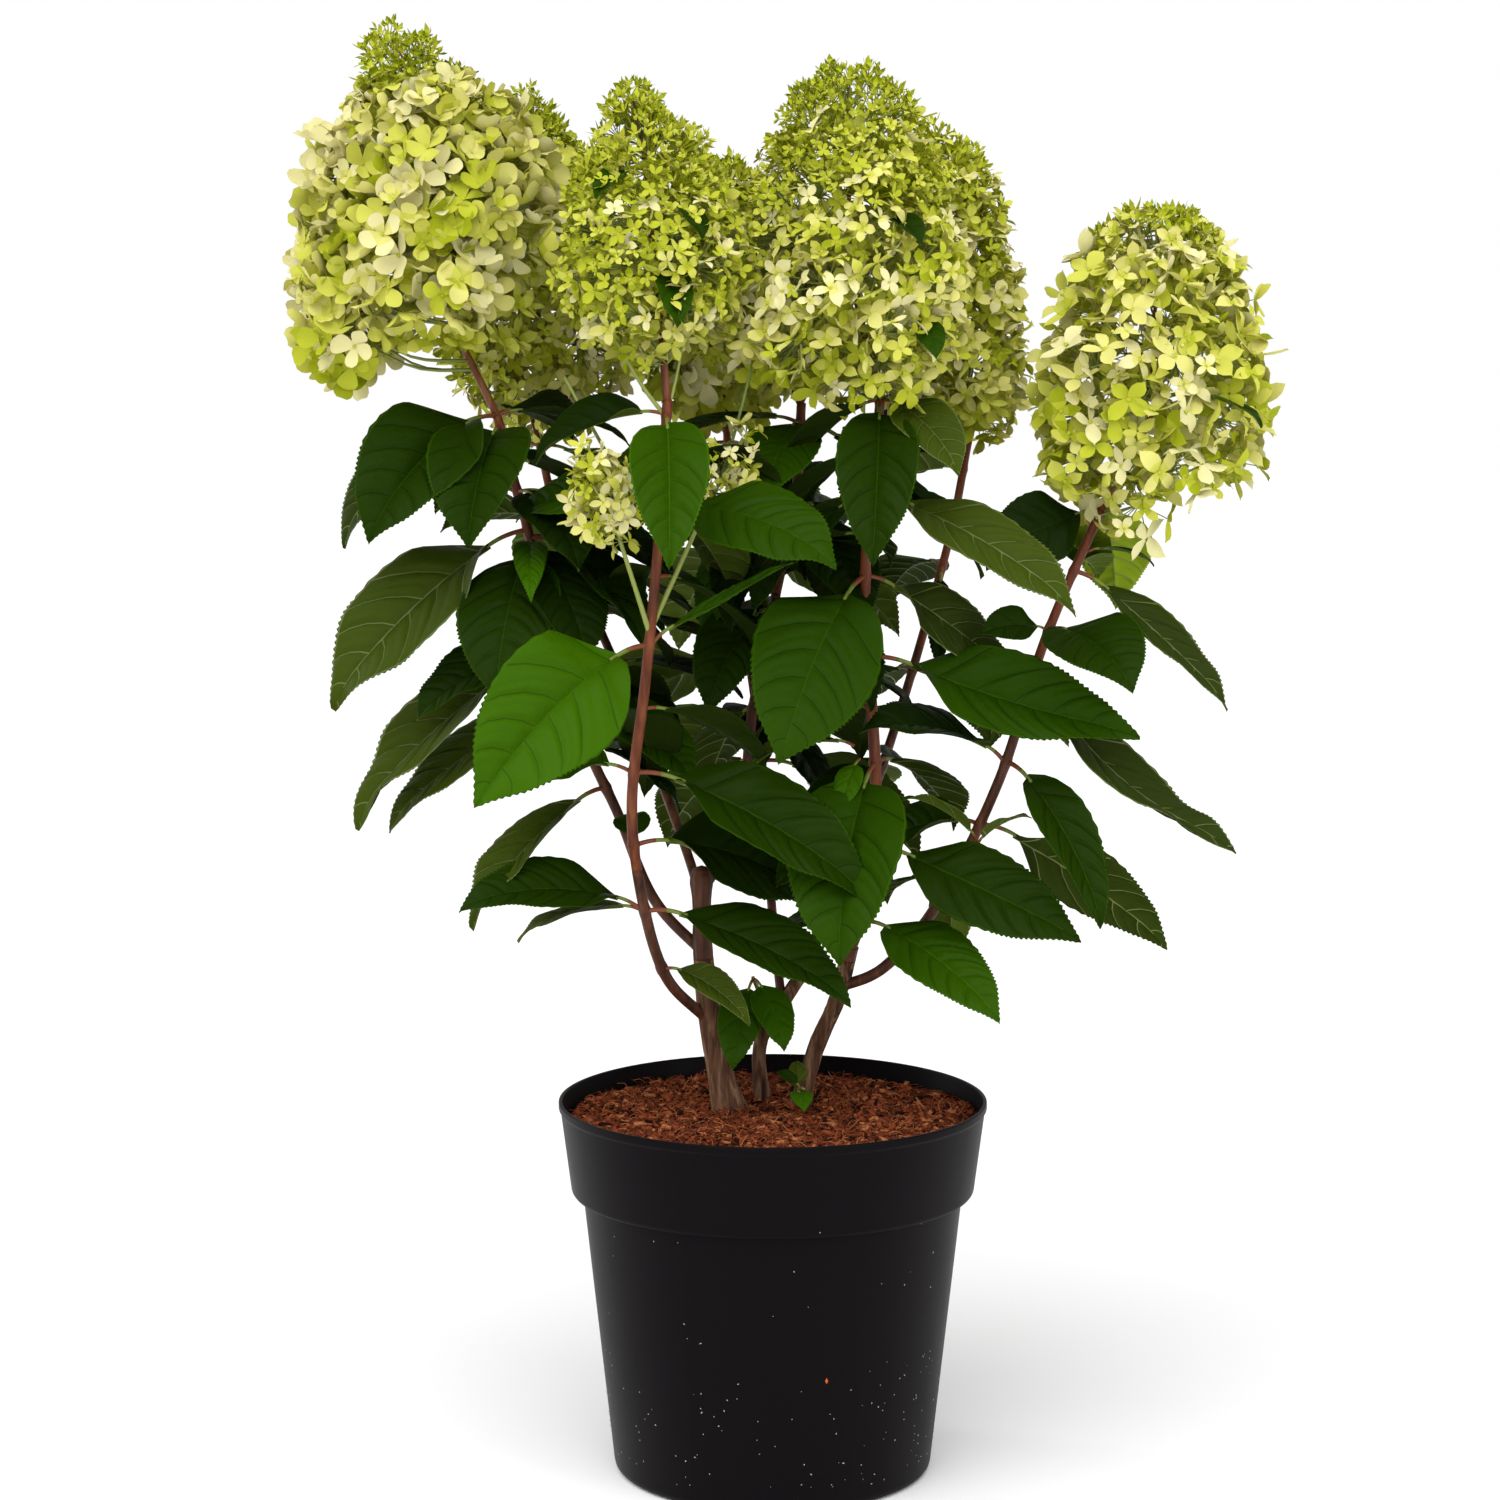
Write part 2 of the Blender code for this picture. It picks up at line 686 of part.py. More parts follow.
def build_boughs(stems, materials):
    """The bare foot of each cane; returns each shoot's path, radii and foot direction."""
    shoots = {}
    for name, (stem, points, radii, leafy_height) in CANES.items():
        carrier = stems[stem][0]
        from_tip = (Vector(points[0]) - carrier[-1]).length < TIP_REACH
        path = smooth_path(points, RING_STEP)
        whole = taper(radii, len(path))
        foot_along = None
        if from_tip:
            foot_along = (carrier[-1] - carrier[-2]).normalized()
            path[0] = carrier[-1] + GAP * foot_along
        if leafy_height <= points[0][2]:
            shoots[name] = (path, whole, foot_along)
            continue
        bare, leafy, along = split_path(path, leafy_height)
        shoots[name] = (leafy, whole[-len(leafy):], along)
        bough = limb_object("bough_" + name, bare, whole[:len(bare)], LIMB_SIDES, foot_along, along)
        if not from_tip:
            boolean(bough, [cutter_for(*stems[stem], LIMB_SIDES)], "DIFFERENCE")
            keep_main_body(bough)
        finish_object(bough, materials["bough"], 60.0)
    return shoots


# Leaves

class Leaf:
    """A leaf's place and pose: root, compass angle, fall, length with petiole, and roll."""

    def __init__(self, root, compass, fall, length, roll):
        self.root = root
        self.compass = math.radians(compass)
        self.fall = math.radians(fall)
        self.petiole = PETIOLE_RATIO * length
        self.length = length - self.petiole
        self.roll = math.radians(roll)

    def slope(self, reach):
        """Angle above the level at a distance along petiole and blade."""
        bend = math.radians(LEAF_BEND)
        if reach < self.petiole:
            rise = math.radians(PETIOLE_RISE) * (1 - reach / self.petiole)
            return -self.fall + bend + rise
        share = (reach - self.petiole) / self.length
        return -self.fall + bend * (1 - 2 * share)

    def frame(self, share):
        """Point, direction, side and upper normal at a share of the blade; -1 is the root."""
        reach = self.petiole + share * self.length if share >= 0 else 0.0
        level = Vector((math.cos(self.compass), math.sin(self.compass), 0.0))
        point = self.root.copy()
        step = reach / MIDRIB_STEPS
        for k in range(MIDRIB_STEPS):
            slope = self.slope((k + 0.5) * step)
            point += step * (math.cos(slope) * level + Vector((0, 0, math.sin(slope))))
        slope = self.slope(reach)
        along = math.cos(slope) * level + Vector((0, 0, math.sin(slope)))
        side = Vector((-math.sin(self.compass), math.cos(self.compass), 0.0))
        above = along.cross(side)
        roll = self.roll * max(0.0, min(1.0, share / ROLL_SHARE))
        turned = math.cos(roll) * side + math.sin(roll) * above
        return point, along, turned, along.cross(turned)


def blade_half_width(share):
    """Half width of a blade of length 1: rounded at the foot, drawn out at the tip."""
    peak = LEAF_FOOT_POWER / (LEAF_FOOT_POWER + LEAF_TIP_POWER)
    widest = peak ** LEAF_FOOT_POWER * (1 - peak) ** LEAF_TIP_POWER
    return 0.5 * LEAF_WIDTH * share ** LEAF_FOOT_POWER * (1 - share) ** LEAF_TIP_POWER / widest


def leaf_mesh(leaf, petiole=True):
    """A folded blade, with or without its petiole: four-cornered rings that end in a tip."""
    fold = math.radians(LEAF_FOLD)
    points = []
    shares = (-1, *BLADE_STATIONS) if petiole else BLADE_STATIONS
    for share in shares:
        centre, _, side, above = leaf.frame(share)
        if share < 0:
            half, thick, rise = PETIOLE_RADIUS, PETIOLE_RADIUS, 0.0
        else:
            half = max(PETIOLE_RADIUS, blade_half_width(share) * leaf.length)
            thick = 0.5 * LEAF_THICKNESS * leaf.length
            rise = half * math.sin(fold)
        points += [centre + half * math.cos(fold) * side + rise * above, centre + thick * above,
                   centre - half * math.cos(fold) * side + rise * above, centre - thick * above]
    tip = len(points)
    points.append(leaf.frame(1.0)[0])
    faces = [(3, 2, 1, 0)]
    rings = len(shares) - 1
    for i in range(rings):
        for k in range(4):
            n = (k + 1) % 4
            a, b, c, d = i * 4 + k, i * 4 + n, (i + 1) * 4 + n, (i + 1) * 4 + k
            # The diagonal keeps the ridge of the fold straight
            faces += [(a, b, c), (a, c, d)] if k % 2 else [(a, b, d), (b, c, d)]
    for k in range(4):
        faces.append((rings * 4 + k, rings * 4 + (k + 1) % 4, tip))
    return closed_mesh("leaf", points, faces)


class Space:
    """What has been placed so far, to keep new pieces clear of it."""

    def __init__(self):
        self.placed = []

    def tree(self, mesh):
        points = [v.co for v in mesh.vertices]
        faces = [tuple(f.vertices) for f in mesh.polygons]
        low = Vector(map(min, zip(*points)))
        high = Vector(map(max, zip(*points)))
        return low, high, BVHTree.FromPolygons(points, faces)

    def add(self, mesh, owner):
        self.placed.append((*self.tree(mesh), owner))

    def clear(self, mesh, wanted):
        """Whether a mesh crosses no placed mesh whose owner is wanted."""
        low, high, tree = self.tree(mesh)
        for other_low, other_high, other, owner in self.placed:
            if not wanted(owner):
                continue
            apart = any(low[k] > other_high[k] or high[k] < other_low[k] for k in range(3))
            if not apart and tree.overlap(other):
                return False
        return True

    def clear_of_others(self, mesh, owner):
        return self.clear(mesh, lambda other: other != owner and not other.endswith(BLADE_MARK))

    def clear_of_own_blades(self, mesh, owner):
        return self.clear(mesh, lambda other: other == owner + BLADE_MARK)


def place_leaves(owner, path, rows, space, chance):
    """Meshes of the leaves that fit on a shoot, each turned aside where it must."""
    meshes = []
    light = 1 if path[-1].y < BACK_SIDE else -1
    for height, *leaves in rows:
        node, _ = point_at_height(path, height)
        for compass, fall, length, *given_roll in leaves:
            away = Vector((math.cos(math.radians(compass)), math.sin(math.radians(compass)), 0.0))
            roll = LIGHT_ROLL * away.x * light + chance.uniform(-LOOSE_ROLL, LOOSE_ROLL)
            roll = given_roll[0] if given_roll else roll
            root = node + LEAF_ROOT * away
            for turn in LEAF_TURNS:
                leaf = Leaf(root, compass + turn, fall + 0.4 * abs(turn), length, roll)
                mesh, blade = leaf_mesh(leaf), leaf_mesh(leaf, petiole=False)
                if space.clear_of_others(mesh, owner) and space.clear_of_own_blades(blade, owner):
                    space.add(mesh, owner)
                    space.add(blade, owner + BLADE_MARK)
                    meshes.append(mesh)
                    break
    return meshes


def fuse(piece, meshes):
    """Join meshes to a piece in one union."""
    if meshes:
        boolean(piece, [add_object("part", mesh) for mesh in meshes], "UNION")
    keep_main_body(piece)


# Blossom

def outline_at(share):
    """Width share of a head at a height share."""
    for (a, wa), (b, wb) in zip(HEAD_OUTLINE, HEAD_OUTLINE[1:]):
        if share <= b:
            return wa + (wb - wa) * (share - a) / (b - a)
    return HEAD_OUTLINE[-1][1]


class Head:
    """A head of blossom: foot, top, half width, shape of the top and nod of the tip."""

    def __init__(self, foot, top, half_width, fullness=1.0, nod=0.0):
        self.foot = Vector(foot)
        self.axis = Vector(top) - self.foot
        self.up = self.axis.normalized()
        self.side = self.up.orthogonal().normalized()
        self.other = self.up.cross(self.side)
        self.half_width = half_width
        self.fullness = fullness
        self.nod = Vector((nod, 0.0, 0.0))

    def across(self, turn):
        return math.cos(turn) * self.side + math.sin(turn) * self.other

    def centre(self, share):
        return self.foot + share * self.axis + share ** NOD_POWER * self.nod

    def width(self, share):
        return self.half_width * outline_at(share) ** self.fullness

    def point(self, share, turn, width):
        return self.centre(share) + width * self.width(share) * self.across(turn)

    def normal(self, share, turn):
        low, high = max(0.10, share - 0.06), min(1.0, share + 0.06)
        slope = (self.width(high) - self.width(low)) / ((high - low) * self.axis.length)
        return (self.across(turn) - slope * self.up).normalized()


def core_mesh(head, chance):
    """The lumpy core of a head."""
    points = []
    for share, _ in HEAD_OUTLINE:
        for k in range(HEAD_SIDES):
            lump = 1 + CORE_LUMPS * chance.uniform(-1, 1)
            turn = 2 * math.pi * k / HEAD_SIDES
            points.append(head.point(min(share, CORE_TOP), turn, CORE_SHARE * lump))
    faces = [tuple(reversed(range(HEAD_SIDES)))]
    last = len(HEAD_OUTLINE) - 1
    for i in range(last):
        for k in range(HEAD_SIDES):
            n = (k + 1) % HEAD_SIDES
            a, b = i * HEAD_SIDES, (i + 1) * HEAD_SIDES
            faces += [(a + k, a + n, b + n), (a + k, b + n, b + k)]
    faces.append(tuple(last * HEAD_SIDES + k for k in range(HEAD_SIDES)))
    return closed_mesh("core", points, faces)


def floret_mesh(root, normal, lift, radius, spin):
    """A floret of four sepals: a star on a cone whose point is sunk in the core."""
    side = normal.orthogonal().normalized()
    other = normal.cross(side)
    middle = root + lift * normal
    points = [middle + 1.5 * FLORET_NOTCH_CUP * radius * normal, root - FLORET_SINK * radius * normal]
    for k in range(8):
        turn = spin + math.pi * k / 4
        reach, rise = (1.0, FLORET_CUP) if k % 2 == 0 else (FLORET_NOTCH, FLORET_NOTCH_CUP)
        across = math.cos(turn) * side + math.sin(turn) * other
        points.append(middle + radius * (reach * across + rise * normal))
    faces = []
    for k in range(0, 8, 2):
        tip, notch, next_tip = 2 + k, 3 + k, 2 + (k + 2) % 8
        faces += [(0, tip, notch), (0, notch, next_tip), (tip, next_tip, notch), (1, next_tip, tip)]
    return closed_mesh("floret", points, faces)


def floret_places(head, count, chance):
    """Height shares and turns spread evenly over a head's surface."""
    steps = 200
    low = HEAD_OUTLINE[0][0]
    shares = [low + (1 - low) * k / steps for k in range(steps + 1)]
    area = [0.0]
    for share in shares[1:]:
        area.append(area[-1] + outline_at(share))
    k = 0
    for i in range(count):
        target = area[-1] * (i + 0.5) / count
        while area[k] < target:
            k += 1
        yield shares[k], i * GOLDEN_ANGLE + chance.uniform(-0.15, 0.15)


def place_florets(owner, head, count, radius, space, chance):
    """Meshes of a head's florets that keep clear of its neighbours."""
    meshes = []
    for share, turn in floret_places(head, count, chance):
        normal = head.normal(share, turn)
        root = head.point(min(share, CORE_TOP), turn, CORE_SHARE * ROOT_SHARE)
        rim = head.point(share, turn, FLORET_LIFT)
        lift = max(FLORET_LOWEST * radius, (rim - root).dot(normal))
        shrink = max(0.0, share - SHRINK_START) / (1 - SHRINK_START) * (1 - SHRINK_END)
        size = radius * (1 - shrink) * chance.uniform(0.92, 1.08)
        mesh = floret_mesh(root, normal, lift, size, chance.uniform(0, math.pi / 2))
        if space.clear_of_others(mesh, owner):
            meshes.append(mesh)
    crest_root = ROOT_SHARE * CORE_TOP
    crest_lift = (1 - crest_root) * head.axis.length
    crest = floret_mesh(head.centre(crest_root), head.up, crest_lift, CREST_SHARE * radius, 0.0)
    if space.clear_of_others(crest, owner):
        meshes.append(crest)
    return meshes


def plan_heads(shoots):
    """Each head's stalk path and radius, outline, floret count and radius, and carrier."""
    plans = {}
    for name, (cane, foot, top, half_width, fullness, nod, count, radius) in HEADS.items():
        path, _, _ = shoots[cane]
        along = (path[-1] - path[-2]).normalized()
        start = path[-1] + GAP * along
        head = Head(foot, top, half_width, fullness, nod)
        stalk = [start, start + STALK_START * along, head.centre(STALK_END)]
        plans[name] = (stalk, PEDUNCLE_RADIUS, head, count, radius, None)
    for name, (cane, height, foot, top, half_width, count, radius) in SIDE_HEADS.items():
        path, radii, _ = shoots[cane]
        root, _ = point_at_height(path, height)
        head = Head(foot, top, half_width)
        stalk = smooth_path((root, head.foot, head.centre(STALK_END)), RING_STEP)
        plans[name] = (stalk, SIDE_STALK_RADIUS, head, count, radius, (path, radii))
    return plans


def build_heads(shoots, space, materials):
    chance = random.Random(SEED + 1)
    plans = plan_heads(shoots)
    parts = {}
    for name, (stalk, stalk_radius, head, count, radius, carrier) in plans.items():
        owner = "blossom_" + name
        piece = limb_object(owner, stalk, [stalk_radius] * len(stalk), TWIG_SIDES)
        if carrier:
            boolean(piece, [cutter_for(*carrier, TWIG_SIDES)], "DIFFERENCE")
            keep_main_body(piece)
        core = core_mesh(head, chance)
        space.add(piece.data, owner)
        space.add(core, owner)
        parts[name] = (piece, core)
    for name, (stalk, stalk_radius, head, count, radius, carrier) in plans.items():
        owner = "blossom_" + name
        piece, core = parts[name]
        florets = place_florets(owner, head, count, radius, space, chance)
        for mesh in florets:
            space.add(mesh, owner)
        fuse(piece, [core, *florets])
        finish_object(piece, materials["blossom"], 25.0)


# Leafy shoots and twigs

def twig_path(carrier, height, tip):
    """A twig's path from a stem's middle at a height, bowed up a little, to its tip."""
    root, _ = point_at_height(carrier, height)
    middle = root.lerp(Vector(tip), 0.5) + TWIG_BOW * UP
    return smooth_path((root, middle, tip), RING_STEP * 0.4)


def build_foliage(stems, shoots, space, materials):
    chance = random.Random(SEED + 2)
    masses = []
    for name, (path, radii, foot_along) in shoots.items():
        owner = "foliage_" + name
        piece = limb_object(owner, path, radii, TWIG_SIDES, foot_along)
        masses.append((piece, path, LEAF_PAIRS[name]))
        space.add(piece.data, owner)
    for name, (stem, height, tip, radius, leaves) in TWIGS.items():
        owner = "foliage_" + name
        path = twig_path(stems[stem][0], height, tip)
        piece = limb_object(owner, path, [radius] * len(path), TWIG_SIDES)
        boolean(piece, [cutter_for(*stems[stem], LIMB_SIDES)], "DIFFERENCE")
        keep_main_body(piece)
        rows = [(path[0].lerp(path[-1], share).z, leaf) for share, *leaf in leaves]
        masses.append((piece, path, rows))
        space.add(piece.data, owner)
    for piece, path, rows in masses:
        meshes = place_leaves(piece.name, path, rows, space, chance)
        fuse(piece, meshes)
        finish_object(piece, materials["foliage"], 30.0)


def main():
    for old in list(bpy.data.objects):
        bpy.data.objects.remove(old)
    materials = {kind: make_material(kind) for kind in COLOURS}
    build_pot(materials["pot"])
    build_soil(materials["soil"])
    stems = build_stems(materials)
    shoots = build_boughs(stems, materials)
    space = Space()
    for piece in bpy.context.scene.objects:
        space.add(piece.data, piece.name)
    build_heads(shoots, space, materials)
    build_foliage(stems, shoots, space, materials)


main()
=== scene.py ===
"""The look of a potted panicle hydrangea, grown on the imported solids.

Metres, +Z up, in the frame of the solids. Angles in the tables are in degrees; a compass
angle is 0 along +X and 90 along +Y. Stems and canes repeat the tables of the solids. Leaf
pairs and heads follow the rule of the solids, fitted closer to the photograph and finer.
"""

import math
import random

import bpy
import numpy as np
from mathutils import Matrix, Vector, noise


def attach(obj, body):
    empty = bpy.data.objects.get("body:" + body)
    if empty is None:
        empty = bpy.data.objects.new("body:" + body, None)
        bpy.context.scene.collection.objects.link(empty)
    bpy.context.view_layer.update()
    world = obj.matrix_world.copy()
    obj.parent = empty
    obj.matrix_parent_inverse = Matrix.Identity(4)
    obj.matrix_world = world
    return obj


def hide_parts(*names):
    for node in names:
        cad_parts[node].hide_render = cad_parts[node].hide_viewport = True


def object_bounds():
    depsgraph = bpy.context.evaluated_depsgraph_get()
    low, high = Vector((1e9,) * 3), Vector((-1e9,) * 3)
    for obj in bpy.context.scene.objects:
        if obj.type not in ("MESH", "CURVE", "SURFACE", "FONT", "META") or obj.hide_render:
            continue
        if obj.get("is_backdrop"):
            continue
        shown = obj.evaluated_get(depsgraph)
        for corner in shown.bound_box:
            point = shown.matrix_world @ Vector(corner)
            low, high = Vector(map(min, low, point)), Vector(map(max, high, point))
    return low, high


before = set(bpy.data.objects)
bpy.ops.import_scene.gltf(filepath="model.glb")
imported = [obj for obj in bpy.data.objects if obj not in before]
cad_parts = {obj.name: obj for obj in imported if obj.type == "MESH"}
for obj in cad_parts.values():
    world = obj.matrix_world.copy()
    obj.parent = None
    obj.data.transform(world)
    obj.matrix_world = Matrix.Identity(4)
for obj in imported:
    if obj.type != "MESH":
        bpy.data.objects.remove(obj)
cad_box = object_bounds()

SEED = 11

# Pot
POT_HEIGHT = 0.228
POT_RIM_RADIUS = 0.130
COLLAR_HEIGHT = 0.0565
COLLAR_FOOT = POT_HEIGHT - COLLAR_HEIGHT
COLLAR_FOOT_RADIUS = 0.1222
BODY_TOP_RADIUS = 0.1155
BODY_FOOT_RADIUS = 0.0972
POT_WALL = 0.0022
POT_FLOOR = 0.0030
FOOT_HEIGHT = 0.0070
FOOT_ROUNDING = 0.0060
FOOT_RING_WIDTH = 0.0075
FOOT_DRAFT = 0.0020
CENTRE_FOOT_RADIUS = 0.020
COLLAR_CORNER = 0.0012
RIM_BEAD_HEIGHT = 0.0045
NOTCH_COUNT = 6
NOTCH_WIDTH = 0.020
NOTCH_DEPTH = 0.016
NOTCH_HEIGHT = 0.0076
CUT_MARGIN = 0.0020
FIRST_NOTCH_ANGLE = -53.0
POT_SIDES = 180
POT_SHARP_ANGLE = 35
# Roundings of the pot's corners
FOOT_CORNER = 0.0006
RING_CORNER = 0.0004
BODY_FOOT_CORNER = 0.0052
STEP_CORNER = 0.0010
COLLAR_FOOT_CORNER = 0.0060
BEAD_CORNER = 0.0008
RIM_CORNER = 0.0010
INSIDE_CORNER = 0.0030
FLOOR_CORNER = 0.0040
# Dust on the pot: how many specks, the share near the foot, heights and half sizes
DUST_SPECKS = 330
LOW_DUST = 0.7
DUST_FOOT, LOW_DUST_TOP, DUST_TOP = 0.012, 0.085, 0.214
DUST_SIZES = (0.00018, 0.00050)
# Single larger specks: compass angle, height, half size and paint
LARGE_SPECKS = ((-73.0, 0.082, 0.0011, "dust_rust"), (-110.0, 0.205, 0.0010, "dust"))

# Soil, its chips and its fibres
SOIL_HEIGHT = 0.2150
SOIL_MOUND = 0.0030
SOIL_SKIRT = 0.012
SOIL_RINGS = 72
SOIL_SIDES = 200
CHIPS = 3000
CHIP_LENGTHS = (0.0012, 0.0016, 0.0020, 0.0026, 0.0034)
FIBRES = 3000
FIBRE_LENGTHS = (0.003, 0.011)
FIBRE_RADII = (0.00014, 0.00032)

# Outline of a head by height share and width share, and how soon its tip nods aside
HEAD_OUTLINE = (
    (0.02, 0.44), (0.10, 0.84), (0.27, 1.00), (0.50, 0.96), (0.71, 0.72), (0.86, 0.44), (1.00, 0.24),
)
NOD_POWER = 6

# The three stems that rise from the soil: points (x, y, z) and radii at foot and tip
STEMS = {
    "trunk_left": (
        ((-0.024, 0.015), (-0.036, 0.012, 0.26), (-0.042, 0.01, 0.311), (-0.043, 0.008, 0.368)),
        (0.011, 0.005),
    ),
    "trunk_right": (
        ((0.013, 0.018), (0.026, 0.014, 0.255), (0.039, 0.008, 0.287), (0.047, -0.001, 0.322)),
        (0.0068, 0.005),
    ),
    "trunk_back": (
        ((-0.005, 0.04), (-0.008, 0.043, 0.25), (0.004, 0.052, 0.272), (0.02, 0.062, 0.296)),
        (0.0052, 0.0042),
    ),
}
STEM_FLARE = 0.24
STEM_FLARE_HEIGHT = 0.035
OLD_BARK_TO = 0.312
STEM_SUNK = 0.010
STEM_STEP = 0.0016
STEM_SIDES = 36

# Canes: points, and radii at foot and tip
CANES = {
    "left_front": (
        ((-0.041, 0.01, 0.276), (-0.065, -0.01, 0.306), (-0.079, -0.033, 0.362), (-0.083, -0.053, 0.418),
         (-0.075, -0.068, 0.485), (-0.068, -0.076, 0.552), (-0.061, -0.078, 0.652)),
        (0.0042, 0.0034),
    ),
    "left": (
        ((-0.042, 0.01, 0.316), (-0.072, 0.018, 0.347), (-0.094, 0.018, 0.4), (-0.116, 0.014, 0.452),
         (-0.139, 0.006, 0.543), (-0.164, 0.0, 0.641)),
        (0.0042, 0.0032),
    ),
    "left_back": (
        ((-0.043, 0.009, 0.343), (-0.052, 0.036, 0.372), (-0.088, 0.075, 0.463), (-0.13, 0.1, 0.56),
         (-0.148, 0.102, 0.636)),
        (0.0038, 0.003),
    ),
    "middle": (
        ((-0.043, 0.008, 0.354), (-0.02, 0.022, 0.396), (-0.011, 0.032, 0.468), (0.013, 0.03, 0.589),
         (0.017, 0.022, 0.648)),
        (0.0042, 0.0034),
    ),
    "right_middle": (
        ((0.047, -0.001, 0.322), (0.057, -0.01, 0.356), (0.061, -0.02, 0.425), (0.054, -0.03, 0.547),
         (0.062, -0.037, 0.651)),
        (0.0048, 0.0034),
    ),
    "right": (
        ((0.041, 0.005, 0.296), (0.068, -0.004, 0.31), (0.1, -0.01, 0.351), (0.135, -0.015, 0.425),
         (0.161, -0.02, 0.509), (0.193, -0.02, 0.586)),
        (0.0042, 0.0034),
    ),
    "right_back": (
        ((0.02, 0.062, 0.296), (0.042, 0.076, 0.35), (0.066, 0.086, 0.412), (0.086, 0.092, 0.474),
         (0.11, 0.096, 0.56), (0.122, 0.096, 0.623)),
        (0.004, 0.003),
    ),
    "back": (
        ((0.006, 0.053, 0.276), (0.0, 0.084, 0.33), (-0.007, 0.12, 0.426), (-0.022, 0.148, 0.54),
         (-0.03, 0.155, 0.647)),
        (0.0036, 0.003),
    ),
}

# How deep a cane's foot is sunk in its stem and the share of it with old bark, and the
# canes where these are others
USUAL_SINK = 0.004
SINKS = {"right_middle": 0.008}
USUAL_OLD_SHARE = 0.62
OLD_SHARES = {"left_front": 0.30, "right_middle": 0.30}
# Swelling at the nodes of the canes
NODE_SWELLING = 0.20
NODE_HALF_HEIGHT = 0.0022
CANE_SIDES = 12

